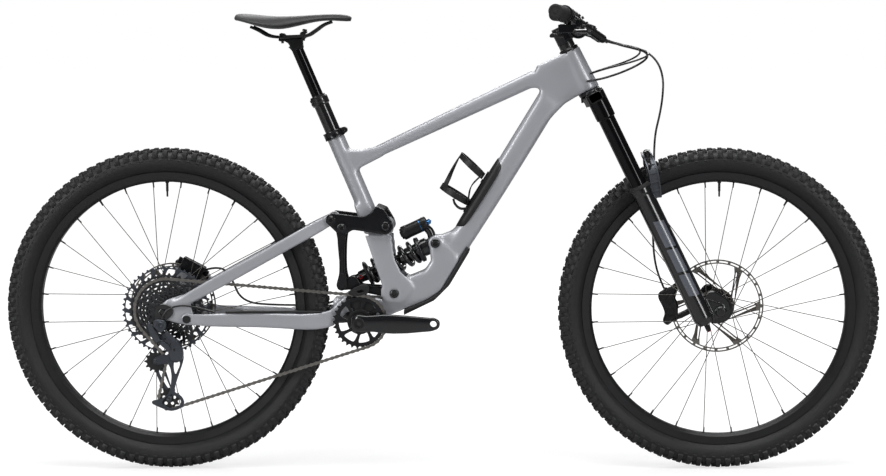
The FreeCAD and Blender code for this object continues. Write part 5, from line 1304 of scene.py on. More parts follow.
def shock():
    eye = SHOCK_TOP
    axis = tuple(SHOCK_DOWN)
    body = [
        lathe(
            eye - Vector((0, 0.012, 0)), (0, 1, 0),
            ((6, 0), (12.5, 0), (13.5, 1), (13.5, 23), (12.5, 24), (6, 24)), 36, True),
        lathe(
            along_shock(8), axis,
            ((0, 0), (12, 0), (15.5, 6), (20.5, 12), (20.5, 25), (19, 26), (19, 30)), 40),
        lathe(
            along_shock(27), axis,
            ((0, 0), (17.2, 0), (17.2, 62), (16, 65), (11, 66), (11, 70), (9.8, 76), (0, 76)), 44),
        lathe(along_shock(10, 6), axis, ((0, -4), (9, -4), (11, 0), (11, 22), (8, 26), (0, 26)), 20)]
    neck = [along_shock(4, 12), along_shock(2, 26), along_shock(6, 40), along_shock(12, 50)]
    body.append(tube(smooth_line(neck, 8), 9.5, 14))
    made("shock_body_parts", body, GLOSS, "shock", "black_anodised", ["shock_body"], 35)
    can = [
        lathe(
            along_shock(-1, 50), axis,
            (
                (0, 0), (12.5, 0), (15.6, 1.2), (16.4, 3), (16.4, 10), (15.7, 10.4), (15.7, 50),
                (16.4, 50.6), (16.4, 60), (15.6, 62), (13, 63), (13, 66), (6.5, 66.4), (6.5, 68), (0, 68)
            ),
            48)]
    made("reservoir", can, SATIN, "shock", "black_anodised")
    rings = [lathe(along_shock(15, 50), axis, ((15.6, 0), (16.2, 0.2), (16.2, 1.2), (15.6, 1.4)), 40, True)]
    knob = along_shock(-9, 50)
    rings.append(
        lathe(
            knob, axis, ((0, 0), (4, 0), (6.2, 1), (6.2, 7), (4.5, 8.4), (0, 8.4)), 30, flutes=15,
            depth=0.6))
    lever = lathe(knob, (0, -1, 0), ((0, 0), (2.6, 0), (2.2, 9), (0, 9.4)), 16)
    made("shock_dials", rings + [lever], BLUE, "shock", "blue_anodised")
    collar = [
        lathe(
            along_shock(36), axis, ((18, 0), (29, 0.4), (30, 1.6), (30, 8), (29, 9.4), (18, 9.4)), 72,
            True, 24, 1.3)]
    made("preload_collar", collar, FORGED, "shock", "black_anodised", (), 40)


shock()


def spring():
    """The coil, its turns closing up towards both ends."""
    wire = 5.4
    reach = 30 - wire - 0.6
    start, stop = 46.2 + wire * 0.5, 168.5 - wire * 0.5
    way, side, over = crossways(SHOCK_DOWN)
    turns = 5.6
    steps = 300
    line = []
    for step in range(steps + 1):
        share = step / steps
        turn = turns * 2 * math.pi * share
        ease = share * share * (3 - 2 * share) * 0.35 + share * 0.65
        centre = SHOCK_TOP + way * (start + (stop - start) * ease) * MM
        line.append(centre + (side * math.cos(turn) + over * math.sin(turn)) * reach * MM)
    made("spring_coil", [tube(line, wire, 14)], GLOSS, "shock", "spring_paint", ["shock_spring"], 60)


spring()


def shock_foot():
    """The piston rod with its bump stop, lower spring seat, dial ring and eye."""
    axis = tuple(SHOCK_DOWN)
    length = (pivot("shock_pivot") - SHOCK_LOW).length / MM
    end = length - 41
    parts = [lathe(along_shock(96), axis, ((0, 0), (6.1, 0), (6.1, length - 104), (0, length - 104)), 30)]
    made("piston_rod", parts, STEEL, "shock_piston", "steel", ["shock_shaft"])
    seat = [
        lathe(
            along_shock(end), axis,
            (
                (6.3, -2), (22, -2), (28.6, 0), (29.6, 1), (29.6, 4.6), (28, 6), (19, 6.2), (14.5, 8),
                (13.2, 24), (6.3, 25)),
            60, True, 12, 0.8),
        lathe(
            along_shock(end - 26), axis,
            ((6.3, 0), (10, 1), (11.5, 7), (10.5, 13), (11.8, 19), (6.3, 24)), 36, True),
        lathe(
            SHOCK_LOW - Vector((0, 0.0118, 0)), (0, 1, 0),
            ((4.4, 0), (10.6, 0), (11.6, 1), (11.6, 22.6), (10.6, 23.6), (4.4, 23.6)), 36, True),
        lathe(along_shock(length - 18), axis, ((0, 0), (10.5, 0), (9.5, 12), (0, 12)), 24)]
    made("shock_foot_parts", seat, FORGED, "shock_piston", "black_anodised", (), 35)
    ring_at = along_shock(length - 20, 0, -13.5)
    ring = [lathe(ring_at, (0, -1, 0), ((3.0, -3), (4.4, -3), (4.4, 0.8), (3.0, 0.8)), 26, True)]
    made("rebound_ring", ring, RED, "shock_piston", "red_anodised")


SHOCK_LOW = (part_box("shock_shaft")[0] + Vector((12.0, 30, 12.5)) * MM)
shock_foot()


# ---------------------------------------------------------------- gear changer

def plate_part(anchor, outline, low, high, rounds=2, holes=(), edge=0.8):
    return flat_mesh([about(anchor, outline, rounds)] + list(holes), low, high, edge)


def derailleur():
    hanger = [
        plate_part(
            REAR,
            (
                (-14, 17), (2, 21), (16, 17), (24, 9), (24, -3), (18, -10), (6, -20), (2, -34),
                (-10, -38), (-17, -28), (-18, -14), (-20, 2)),
            -88.5, -82.4, 2)]
    hanger.append(button(REAR + Vector((0, -0.0884, 0)), (0, -1, 0), 9.5, 2.2))
    made("hanger_plate", hanger, GLOSS, "upper_stay", "black_anodised", (), 35)
    knuckle = [
        plate_part(
            REAR,
            (
                (-20, -17), (-10, -14), (4, -16), (10, -24), (8, -34), (1, -43), (-6, -45), (-14, -36),
                (-20, -28)),
            -99, -88.6, 2),
        button(REAR + Vector((-0.0045, -0.0988, -0.0262)), (0, -1, 0), 7.4, 2.4)]
    made("upper_knuckle", knuckle, SLATE, "upper_stay", "black_anodised", ["derailleur_knuckle"], 35)
    p = CAGE_PIVOT
    back = plate_part(
        REAR,
        ((-35, -23), (-29, -20.5), (-22, -30), (-12, -47), (-4, -62), (-12, -72), (-20, -64), (-30, -44)),
        -97, -92.5, 2)
    body = plate_part(
        p,
        (
            (-20, 60), (-10, 50), (1, 41), (10, 36), (15, 27), (19, 14), (20, 2), (16, -9), (5, -15),
            (-8, -11), (-12, 2), (-15, 16), (-27, 27), (-38, 34), (-36, 45), (-28, 50)),
        -84, -66, 2, (), 2.2)
    link = plate_part(p, ((-14, 62), (-3, 50), (8, 40), (6, 33), (-4, 38), (-20, 52)), -94, -88, 2)
    block = plate_part(p, ((-34, 42), (-14, 30), (-6, 20), (-14, 14), (-26, 24), (-38, 36)), -90, -83, 1)
    barrel = lathe(
        Vector((p.x, -0.0685, p.z)), (0, 1, 0),
        ((0, 0), (13.6, 0), (15.4, 1.4), (15.4, 12), (13.8, 14.6), (0, 14.6)), 44)
    made("changer_body", [back, body, link, block, barrel], SLATE, "derailleur", "black_anodised",
         ["derailleur_arm"], 35)
    screws = [button(Vector((p.x, -0.0683, p.z)), (0, -1, 0), 8.4, 2.0)]
    for across, up, deep in ((-12, 47, -94), (0, 36, -94), (-28, 38, -90), (8, 22, -84)):
        screws.append(button(shifted(p, across, deep, up), (0, -1, 0), 3.2, 1.6))
    made("changer_screws", screws, GLOSS, "derailleur", "black_anodised")
    cage = (
        (-31, 0.7), (-24, -2), (-17, 4), (-9, 10), (4, 13), (13, 8), (16, -4), (15, -14), (10, -30),
        (5, -44), (0, -58), (-5, -74), (-7, -88), (3, -92), (12, -101), (16, -111.5), (12, -122),
        (0, -129), (-15.5, -132.5), (-31, -128), (-47, -121), (-58, -116), (-60.3, -109.7), (-54, -106.5),
        (-44, -105), (-33, -101), (-23, -94), (-17, -83), (-14.5, -66), (-13, -50), (-15, -34),
        (-20, -22), (-31, -22.8), (-44, -24.4), (-53.5, -22), (-56.5, -15), (-52.5, -8), (-42, -4))
    fork = eased(
        [
            (p.x / MM + x, p.z / MM + z) for x,
            z in ((-7, -14), (6, -16), (7, -24), (1, -38), (-4, -48), (-8, -34))],
        2)
    rest = eased(
        [
            (p.x / MM + x, p.z / MM + z) for x,
            z in (
                (-33, -107), (-28, -101), (-20, -96), (-12, -98), (-6, -96), (3, -101), (8, -109),
                (6, -117), (-2, -123), (-15, -126), (-28, -121), (-37, -114))],
        1)
    outer = plate_part(p, cage, -46.9, -44.7, 2, (fork, rest), 0.5)
    spokes = [
        plate_part(
            p, ((-16, -92), (-11, -92), (-15, -108), (-24, -109), (-24, -104), (-19, -102)), -46.9, -44.7,
            1, (), 0.5),
        lathe(
            Vector((TENSION.x, -0.0447, TENSION.z)), (0, -1, 0),
            ((0, 0), (6.4, 0), (6.4, 2.4), (5.4, 3.2), (0, 3.2)), 26),
        lathe(
            Vector((GUIDE.x, -0.0447, GUIDE.z)), (0, -1, 0),
            ((0, 0), (5.6, 0), (5.6, 2.4), (4.8, 3.2), (0, 3.2)), 26)]
    low, high = in_mm(GUIDE), in_mm(TENSION)
    inner = eased([(low[0] - 9, low[1] + 8), (low[0] + 8, low[1] + 11), (low[0] + 16, low[1] - 2),
                   (high[0] + 10, high[1] + 10), (high[0] + 9, high[1] - 9), (high[0] - 9, high[1] - 9),
                   (high[0] - 10, high[1] + 8), (low[0] - 8, low[1] - 9)], 2)
    window = eased([(low[0] + 4, low[1] - 22), (low[0] + 14, low[1] - 20), (high[0] + 4, high[1] + 22),
                    (high[0] - 4, high[1] + 24)], 2)
    back_plate = flat_mesh([inner, window], -38.3, -36.5, 0.4)
    hub = lathe(Vector((p.x, -0.0535, p.z)), (0, 1, 0), ((0, 0), (12.8, 0), (12.8, 9), (0, 9)), 40)
    made("changer_cage", [outer, back_plate, hub] + spokes, SLATE, "derailleur_swing", "black_anodised",
         ["derailleur_cage"], 35)
    pins = []
    for centre in (GUIDE, TENSION):
        pins.append(
            lathe(
                Vector((centre.x, -0.0466, centre.z)), (0, 1, 0), ((0, 0), (2.4, 0), (2.4, 10), (0, 10)),
                16))
        pins.append(button(Vector((centre.x, -0.0478, centre.z)), (0, -1, 0), 3.0, 0.8, 0.4))
    made("pulley_bolts", pins, GLOSS, "derailleur_swing", "black_anodised")
    for name, centre, body, windows in (("guide_pulley", GUIDE, "guide_wheel", 0),
                                        ("tension_pulley", TENSION, "tension_wheel", 5)):
        here = in_mm(centre)
        loops = [teeth_loop(here, PULLEY_TEETH, 1.7, 4.2), ring_loop(here, 2.7, 20)]
        for index in range(windows):
            loops.append(ring_loop(polar(here, 12.6, 2 * math.pi * index / 5 + 0.3), 3.7, 16))
        middle = centre.y / MM
        parts = [
            flat_mesh(loops, middle - 0.85, middle + 0.85, 0.2),
            lathe(
                centre - Vector((0, 0.0026, 0)), (0, 1, 0), ((2.7, 0), (8.4, 0), (8.4, 5.2), (2.7, 5.2)),
                30, True)]
        made(name + "_wheel", parts, PLASTIC, body, "black_plastic", [name], 30)


derailleur()


def chain_guide():
    window = eased([(BB.x / MM + x, BB.z / MM + z) for x, z in ((-8, 70), (6, 76), (12, 70), (0, 66))], 2)
    parts = [
        plate_part(BB, ((-27, 70), (-12, 79), (6, 87), (18, 87), (23, 79), (21, 66), (10, 63), (-1, 60.5),
                        (-13, 60), (-24, 63)), -61.0, -58.6, 2, (window,)),
        plate_part(BB, ((-26, 68), (-12, 77), (6, 85), (18, 85), (20, 80), (6, 79), (-10, 71.5),
                        (-24, 65)), -60, -49, 2),
        plate_part(BB, ((-26, 70), (-34, 45), (-24, 32), (0, 26), (20, 14), (23, -8), (36, -8), (38, 28),
                        (14, 54), (18, 76), (4, 84), (-12, 76)), -49.4, -46.4, 2)]
    for across, up in ((31, 19), (30, 0)):
        parts.append(button(shifted(BB, across, -49.2, up), (0, -1, 0), 4.2, 1.6))
        parts.append(
            lathe(shifted(BB, across, -46.6, up), (0, 1, 0), ((0, 0), (4, 0), (4, 14.2), (0, 14.2)), 18))
    parts.append(button(shifted(BB, 14, -61, 79), (0, -1, 0), 3.4, 1.4))
    made("chain_guide_parts", parts, PLASTIC, "frame", "black_plastic", ["chain_guide"], 35)


chain_guide()


# ---------------------------------------------------------------- saddle and seat post

def saddle():
    """A padded saddle: a crowned cover over foam on a moulded shell, with a shallow channel."""
    low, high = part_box("saddle_cover")
    length = (high.x - low.x) / MM
    low = low + Vector((4, 0, 0)) * MM
    top = high.z / MM + 5.5
    half = 70.5
    shape = (
        (0.0, 0.55, 9, -5.0, 0.0), (0.012, 0.70, 15, -1.6, 0.1), (0.05, 0.88, 18, 0, 0.3),
        (0.13, 0.985, 23, -0.6, 0.6), (0.21, 1.0, 28, -2.6, 0.8), (0.29, 0.92, 31, -4.6, 1.0),
        (0.37, 0.79, 31.5, -5.8, 1.0), (0.46, 0.64, 27.5, -5.6, 1.0), (0.55, 0.52, 23, -4.6, 1.0),
        (0.64, 0.42, 18.5, -3.0, 0.8), (0.73, 0.36, 15.6, -1.6, 0.6), (0.82, 0.32, 15.4, -1.0, 0.4),
        (0.90, 0.29, 16.4, -1.6, 0.2), (0.955, 0.25, 14.5, -3.6, 0.0), (0.988, 0.17, 10, -6.4, 0.0),
        (0.999, 0.08, 4.5, -9.4, 0.0))
    rings = []
    for share, breadth, thick, lift, channel in shape:
        wide = breadth * half
        ring = []
        x = low.x / MM + share * length
        for step in range(40):
            turn = 2 * math.pi * step / 40
            across = math.copysign(abs(math.cos(turn)) ** 0.72, math.cos(turn))
            tall = math.sin(turn)
            y = across * wide
            crown = top + lift - (abs(across) ** 2.4) * min(thick * 0.62, wide * 0.35)
            groove = channel * 2.6 * math.exp(-(y / 8.0) ** 2) * max(0.0, tall)
            if tall >= 0:
                z = crown - groove - (1 - abs(tall) ** 0.5) * thick * 0.2
            else:
                z = crown - thick * (abs(tall) ** 0.55) * (1.0 - 0.45 * abs(across) ** 3)
                y *= 1 - 0.06 * abs(tall)
            ring.append(Vector((x, y, z)) * MM)
        rings.append(ring)
    cover = sections_skin("saddle_pad", rings)
    smooth = cover.modifiers.new("smooth", "SMOOTH")
    smooth.iterations = 2
    surface = cover.modifiers.new("surface", "SUBSURF")
    surface.levels = surface.render_levels = 2
    baked(cover)
    finished(cover, LEATHER, "saddle_post", ["saddle_cover"])
    shell = []
    for share, breadth, thick, lift, channel in shape[1:-1]:
        x = low.x / MM + share * length
        wide = breadth * half * 0.86
        z = top + lift - thick * 0.72
        ring = []
        for step in range(24):
            turn = 2 * math.pi * step / 24
            across = math.cos(turn)
            ring.append(Vector((x, across * wide, z - 3.4 * abs(across) ** 2 * 0.6
                                + (1.6 if math.sin(turn) > 0 else -4.6 * (1 - abs(across) ** 3)))) * MM)
        shell.append(ring)
    tray = sections_skin("saddle_shell", shell)
    finished(tray, PLASTIC, "saddle_post", ["saddle_base"])
    clamp_low, clamp_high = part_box("saddle_clamp")
    clamp = Vector(((clamp_low.x + clamp_high.x) / 2 + 0.002, 0, clamp_low.z + 0.004))
    rails = []
    for side in (-1, 1):
        knots = [
            shifted(clamp, -101, side * 30, 36), shifted(clamp, -84, side * 27, 28),
            shifted(clamp, -62, side * 23, 16), shifted(clamp, -42, side * 22, 12.5),
            shifted(clamp, 0, side * 22, 13), shifted(clamp, 28, side * 22, 16.5),
            shifted(clamp, 44, side * 20, 26), shifted(clamp, 66, side * 14, 41),
            shifted(clamp, 82, side * 11, 47)]
        rails.append(tube(smooth_line(knots, 8), 3.4, 14))
    made("saddle_rails", rails, FORGED, "saddle_post", "steel")
    head = [
        plate_part(
            clamp,
            (
                (-40, 5), (-37, 11), (-26, 9), (-14, 10.5), (12, 11), (24, 16.5), (23, 10), (15, 7),
                (15, -4), (17, -14), (-8, -23), (-13, -9), (-18, -1), (-26, 3), (-36, 2)),
            -14, 14, 2, (), 3)]
    made("post_head", head, FORGED, "saddle_post", "black_anodised", ["saddle_clamp"], 40)
    jaws = [
        plate_part(
            clamp, ((-28, 12), (-16, 9.5), (12, 11), (22, 15), (21, 19), (10, 18), (-12, 17), (-26, 17)),
            -27, 27, 1)]
    for along, tall in ((-31, 22), (17, 26)):
        jaws.append(
            lathe(
                shifted(clamp, along, 0, -2 if along < 0 else 4), (0.12 if along > 0 else -0.1, 0, 1),
                (
                    (0, 0), (3, 0), (3, tall - 4), (5.4, tall - 4), (5.4, tall), (3, tall + 1),
                    (0, tall + 1)),
                20))
    jaws.append(plate_part(clamp, ((-38, 14), (-24, 13), (-24, 20), (-36, 22)), -9, 9, 1))
    jaws.append(plate_part(clamp, ((8, 17), (24, 20), (26, 26), (12, 25)), -9, 9, 1))
    made("saddle_jaws", jaws, SATIN, "saddle_post", "black_anodised", (), 35)


saddle()


def post_details():
    """Wiper and seal rings of the seat post, and the collar with its lug, slot and bolt."""
    foot = pivot_point_on_post(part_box("seat_collar")[0].z + 17 * MM)
    seal = pivot_point_on_post(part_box("seatpost_outer")[1].z - 9 * MM)
    rings = [
        lathe(
            seal, SEAT_UP,
            (
                (18.2, -12), (20.9, -12), (20.9, -7), (19.6, -6.4), (19.6, -4.4), (20.9, -3.8),
                (20.9, 1.4), (18.4, 2.6), (17.6, 6.2), (13.5, 6.2), (13.5, -12)),
            48, True)]
    made("post_seal", rings, SATIN, "frame", "black_anodised")
    band = [
        lathe(
            foot, SEAT_UP,
            (
                (20.7, -11), (23.4, -11), (24.0, -9.6), (23.2, -8.4), (23.2, 3.6), (24.0, 4.8),
                (23.4, 6.4), (20.7, 6.4)),
            60, True)]
    forward = Vector((SEAT_UP.z, 0, -SEAT_UP.x))
    lug = foot + forward * 25.5 * MM - SEAT_UP * 2.0 * MM
    for side in (-1, 1):
        band.append(
            lathe(
                lug + Vector((0, side * 2.2 * MM, 0)), (0, side, 0),
                ((0, 0), (6.8, 0), (7.4, 1), (7.4, 7.4), (6.4, 8.6), (0, 8.6)), 30))
    band.append(button(lug + Vector((0, -0.0106, 0)), (0, -1, 0), 4.2, 1.8))
    made("collar_band", band, FORGED, "frame", "black_anodised", ["seat_collar"], 35)


def pivot_point_on_post(height):
    """The point of the seat post's axis at a height."""
    mast = middle_of("seatpost_outer")
    return mast + SEAT_UP * ((height - mast.z) / SEAT_UP.z)


post_details()


# ---------------------------------------------------------------- fork

def strap(line, wide, thick, ways):
    """A flat moulded strap along a line; ways give its width direction at each point, wide its widths."""
    points = []
    faces = []
    for index, point in enumerate(line):
        ahead = (line[min(index + 1, len(line) - 1)] - line[max(index - 1, 0)]).normalized()
        share = index / (len(line) - 1)
        across = ways[0].lerp(ways[1], share)
        across = (across - ahead * across.dot(ahead)).normalized()
        flat = ahead.cross(across)
        half = (wide[0] + (wide[1] - wide[0]) * share) / 2
        for a, b in ((-1, -1), (1, -1), (1, 1), (-1, 1)):
            points.append(point + across * a * half * MM + flat * b * thick / 2 * MM)
    for index in range(len(line) - 1):
        for step in range(4):
            after = (step + 1) % 4
            faces.append((index * 4 + step, index * 4 + after, index * 4 + 4 + after, index * 4 + 4 + step))
    faces.append((3, 2, 1, 0))
    faces.append(tuple(len(points) - 4 + step for step in range(4)))
    return points, faces


def fork_point(along, side=0.0, fore=0.0):
    """A point so many mm down the steering axis from the lower headset race."""
    return RACE + (FORK_FORE * fore - FORK_UP * along + Vector((0, side, 0))) * MM


def fork_details():
    lean = 8.4
    seal = 240
    spine = [shifted(FRONT, -147, 77, 262), shifted(FRONT, -150, 76, 288), shifted(FRONT, -155, 69, 318),
             shifted(FRONT, -163, 50, 344), shifted(FRONT, -169, 24, 357), shifted(FRONT, -170, 0, 360)]
    half = smooth_line(spine, 6)
    line = half + [Vector((point.x, -point.y, point.z)) for point in reversed(half[:-1])]
    fore = (Vector((1, 0, 0.25)).normalized(),) * 2
    edge = [point + fore[0] * 9.5 * MM for point in line]
    back = [point - fore[0] * 9.5 * MM for point in line]
    parts = [strap(line, (22, 22), 3.4, fore), strap(edge, (3, 3), 11, fore), strap(back, (3, 3), 9, fore)]
    for index in range(4, len(line) - 4, 4):
        parts.append(strap([line[index] + fore[0] * reach * MM for reach in (-9, 0, 9)], (9, 9), 2.4,
                           (Vector((0, -line[index].z, line[index].y)).normalized(),) * 2))
    # The arch is drawn in the paler slate metal rather than its own gloss black: a painted highlight of its lit face.
    made("fork_arch", parts, SLATE, "fork_slider", "black_paint", (), 30)
    feet = []
    for side in (-1, 1):
        low, high = sorted((side * 56, side * 71))
        feet.append(
            plate_part(
                FRONT,
                (
                    (-40, 34), (-22, 52), (5, 36), (20, 24), (24, 2), (17, -20), (0, -27), (-20, -28),
                    (-34, -6)),
                low, high, 2, (), 2.5))
        out = Vector((0, side, 0))
        feet.append(lathe(FRONT + out * 70 * MM, out, ((0, 0), (12, 0), (12, 2.4), (10.6, 3.6), (7.4, 3.6),
                                                       (6.6, 2.2), (0, 2.2)), 40))
    made("fork_feet", feet, LEGS, "fork_slider", "black_paint", (), 35)
    caliper = [
        plate_part(
            FRONT,
            (
                (-137, 30), (-124, 38), (-103, 47), (-94, 40), (-101, 26), (-92, 8), (-91, -22),
                (-106, -38), (-116, -46), (-128, -37), (-121, -18), (-129, 2), (-138, 18)),
            30, 54, 2, (), 3.4),
        plate_part(
            FRONT, ((-104, 50), (-92, 56), (-60, 72), (-54, 64), (-88, 44), (-98, 38)), 40, 50, 1, (), 1.5
        ),
        plate_part(
            FRONT, ((-104, -26), (-92, -34), (-52, -14), (-56, -5), (-90, -20), (-98, -16)), 40, 50, 1,
            (), 1.5)]
    for across, up, wide in ((-112, 14, 9.4), (-110, -12, 9.4)):
        for side, face in ((-1, 30.5), (1, 53.5)):
            caliper.append(
                lathe(
                    shifted(FRONT, across, face, up), (0, side, 0),
                    ((0, -2), (wide, -2), (wide, 1.4), (wide - 1.2, 2.6), (0, 2.6)), 36))
    for across, up in ((-98, 44), (-98, -28)):
        caliper.append(button(shifted(FRONT, across, 39.5, up), (0, -1, 0), 5.2, 2.6))
    caliper.append(
        lathe(
            shifted(FRONT, -122, 46, 30), (0.1, 0, 1),
            ((0, 0), (5.2, 0, True), (5.2, 6, True), (4.2, 7), (4.2, 13), (0, 14)), 30))
    made("brake_caliper", caliper, FORGED, "fork_slider", "black_anodised", ["front_caliper"], 35)
    axle = [
        lathe(
            FRONT - Vector((0, 0.0748, 0)), (0, 1, 0), ((4.6, 0), (6.2, 0), (6.2, 149.6), (4.6, 149.6)),
            30, True)]
    made("front_axle_tube", axle, STEEL, "fork_slider", "bare_alloy")
    crown = []
    pocket = ((-9, -3), (20, 11), (31, -8), (2, -24))
    inner = ((-4, -4.6), (18.6, 6.4), (25.6, -6.6), (3, -18.6))
    for side in (-1, 1):
        low, high = sorted((side * 93.2, side * 96.4))
        hole = [[(RACE.x / MM + x, RACE.z / MM + z) for x, z in inner]]
        crown.append(plate_part(RACE, pocket, low, high, 1, hole, 0.9))
        low, high = sorted((side * 93.2, side * 95.2))
        for bar in (((-1, -6), (21, -9), (22.4, -6.6), (0.6, -3.4)), ((9, 2.6), (6, -16.6), (9, -15.2), (12, 3.8))):
            crown.append(plate_part(RACE, bar, low, high, 0, (), 0.6))
    made("crown_frames", crown, FORGED, "steering", "black_anodised", (), 30)
    wipers = []
    caps = []
    for side in (-72, 72):
        wipers.append(
            lathe(
                fork_point(seal - 1, side, lean), -FORK_UP,
                ((19.1, -5), (21.5, -5), (24.2, -3), (25.4, 0), (25.4, 3), (24.4, 4), (19.1, 4)), 48, True
            ))
        caps.append(
            lathe(
                fork_point(-2, side, lean), FORK_UP, ((0, 0), (17.5, 0), (17.5, 3), (15.5, 5), (0, 5)), 44
            ))
    made("fork_wipers", wipers, GRIP, "fork_slider", "soft_rubber")
    made("fork_caps", caps, FORGED, "steering", "black_anodised")


fork_details()


def fork_dials():
    low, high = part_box("compression_dial")
    centre = (low + high) / 2
    dial = [
        lathe(
            centre - FORK_UP * 6 * MM, FORK_UP,
            ((0, 0), (14, 0), (14.6, 1), (14.6, 7), (13.4, 8.6), (6, 9.2), (6, 11), (0, 11)), 72, False,
            18, 0.9)]
    made(
        "compression_knob", dial, FORGED, "compression_adjuster", "black_anodised", ["compression_dial"],
        40)
    low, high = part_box("rebound_knob")
    centre = (low + high) / 2
    knob = [
        lathe(
            centre + FORK_UP * 8 * MM, -FORK_UP,
            ((0, 0), (5.6, 0), (5.9, 1), (5.9, 13), (4.6, 14.6), (0, 14.6)), 48, False, 12, 0.7)]
    made("rebound_dial", knob, FORGED, "rebound_adjuster", "black_anodised", ["rebound_knob"], 40)
    red = [lathe(centre - FORK_UP * 7.0 * MM, -FORK_UP, ((0, 0), (4.2, 0), (3.6, 1.6), (0, 1.6)), 24)]
    made("rebound_mark", red, RED, "rebound_adjuster", "red_anodised")


fork_dials()


# ---------------------------------------------------------------- bar, grips and controls

def grips():
    low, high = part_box("grips")
    for side in (-1, 1):
        end = Vector((low.x + 17.0 * MM, side * (high.y - 2.5 * MM), high.z - 14.5 * MM))
        way = Vector((0.1656, -side * 0.9858, -0.0237)).normalized()
        along, across, over = crossways(way)
        rings = []
        stations = 96
        for step in range(stations + 1):
            place = 4 + 112 * step / stations
            ring = []
            for spoke in range(72):
                turn = 2 * math.pi * spoke / 72
                waffle = 0.5 + 0.5 * math.sin(turn * 12 + place * 0.55) * math.sin(turn * 12 - place * 0.55)
                ribs = 0.5 + 0.5 * math.cos(place * 1.25)
                under = 0.5 + 0.5 * math.cos(turn - 2.2)
                swell = 0.4 * math.sin(math.pi * step / stations)
                radius = 13.9 + swell + 0.9 * (waffle if under < 0.55 else ribs)
                if step in (0, stations):
                    radius = 13.4
                ring.append(
                    end + along * place * MM
                    + (across * math.cos(turn) + over * math.sin(turn)) * radius * MM)
            rings.append(ring)
        hand = "left" if side > 0 else "right"
        sleeve = sections_skin(hand + "_grip", rings)
        finished(sleeve, GRIP, "steering", ["grips"] if side > 0 else ())
        plug = [
            lathe(
                end + way * 5 * MM, -way,
                (
                    (0, 0), (14.4, 0), (15.2, 1), (15.2, 5), (14.2, 6.6), (10.6, 7.2), (10.0, 6.2),
                    (5, 6.2), (4.4, 7.4), (0, 7.4)),
                48)]
        made(hand + "_bar_plug", plug, GRIP, "steering", "soft_rubber", (), 30)
        ring = [
            lathe(
                end + way * 117 * MM, way,
                ((11.2, 0), (16.6, 0), (17.2, 1), (17.2, 9), (16.4, 10.4), (11.2, 10.4)), 48, True),
            button(end + way * 122 * MM + Vector((0.003, 0, -0.0165)), (0.2, 0, -1), 3.0, 1.2)]
        made(hand + "_lock_ring", ring, SATIN, "steering", "black_anodised")


grips()


def controls():
    """Reservoir caps, hose nuts, hinge pins and reach dials of the brakes; the cable adjusters."""
    parts = []
    rubber = []
    for side in (-1, 1):
        front = Vector((0.3629, side * 0.1683, 0.9951))
        back = Vector((0.3107, side * 0.2531, 1.0302))
        way = (back - front).normalized()
        up = Vector((0.35, 0, 0.94)).normalized()
        parts.append(
            lathe(
                front - way * 6 * MM, way,
                (
                    (0, -4), (3.2, -4), (3.6, 0), (5.6, 0, True), (5.6, 6, True), (7.5, 7), (9.2, 12),
                    (9.2, 26), (8.4, 30), (0, 30)),
                36))
        rubber.append(
            lathe(front - way * 22 * MM, way, ((2.6, 0), (3.4, 1), (4.2, 14), (2.6, 15)), 20, True))
        middle = front.lerp(back, 0.55)
        parts.append(
            lathe(middle + up * 4 * MM, up, ((0, 0), (10.5, 0), (10.5, 6), (9.2, 8.4), (0, 8.4)), 36))
        for share in (0.36, 0.74):
            parts.append(button(front.lerp(back, share) + up * 11 * MM, up, 2.4, 1.2))
        hinge = Vector((0.3207, side * 0.2571, 1.0042))
        parts.append(
            lathe(hinge, (0, 0, 1), ((0, 0), (5.8, 0), (6.4, 1), (6.4, 21), (5.4, 22.4), (0, 22.4)), 28))
        parts.append(
            lathe(
                hinge + Vector((0.009, side * 0.008, 0.006)), (1, 0, 0),
                ((0, 0), (4.6, 0), (4.6, 6), (3.8, 7), (0, 7)), 40, False, 10, 0.6))
        clamp = Vector((0.2915, side * 0.2555, 1.0505))
        parts.append(button(clamp + Vector((0.020, 0, -0.004)), (0.8, 0, 0.5), 3.2, 1.6))
    made("brake_fittings", parts, SATIN, "steering", "black_anodised", (), 35)
    for x, y, z in ((0.2903, -0.2046, 1.0174), (0.2923, 0.2076, 1.0224)):
        base = Vector((x, y, z))
        way = Vector((0.02, -math.copysign(1, y), 0)).normalized()
        rubber.append(
            lathe(
                base - way * 6 * MM, way,
                ((2.3, -6), (5.4, -6), (5.4, 4), (4.2, 6), (3.4, 14), (2.3, 15)), 36, True, 9, 0.5))
    made("cable_boots", rubber, PLASTIC, "steering", "black_plastic", (), 35)


controls()


def shifter():
    """The gear shifter's thumb paddle, and the seat post's lever."""
    low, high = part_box("shift_paddle")
    centre = (low + high) / 2
    paddle = [
        tube(
            smooth_line(
                [
                    shifted(centre, 12, 18, 0), shifted(centre, 6, 4, 0.5), shifted(centre, -4, -8, 1),
                    shifted(centre, -11, -16, 2)],
                8),
            4.2, 14),
        plate_part(
            centre, ((-16, -3.6), (-4, -3.6), (4, -1.5), (4, 3), (-6, 4.6), (-15, 5)), centre.y / MM - 17,
            centre.y / MM + 4, 2)]
    made("thumb_paddle", paddle, PLASTIC, "shift_lever", "black_plastic", ["shift_paddle"], 35)
    low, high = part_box("dropper_lever")
    centre = (low + high) / 2
    lever = [
        tube(
            smooth_line(
                [
                    shifted(centre, 10, -17, 0), shifted(centre, 4, -6, 0), shifted(centre, -6, 8, 1.5),
                    shifted(centre, -12, 17, 2)],
                8),
            4.0, 14),
        plate_part(
            centre, ((-15, -3), (-3, -3), (-2, 3), (-14, 4.6)), centre.y / MM + 2, centre.y / MM + 19, 2)]
    made("post_lever", lever, PLASTIC, "dropper_control", "black_plastic", ["dropper_lever"], 35)


shifter()


# ---------------------------------------------------------------- hatch and bottle cage

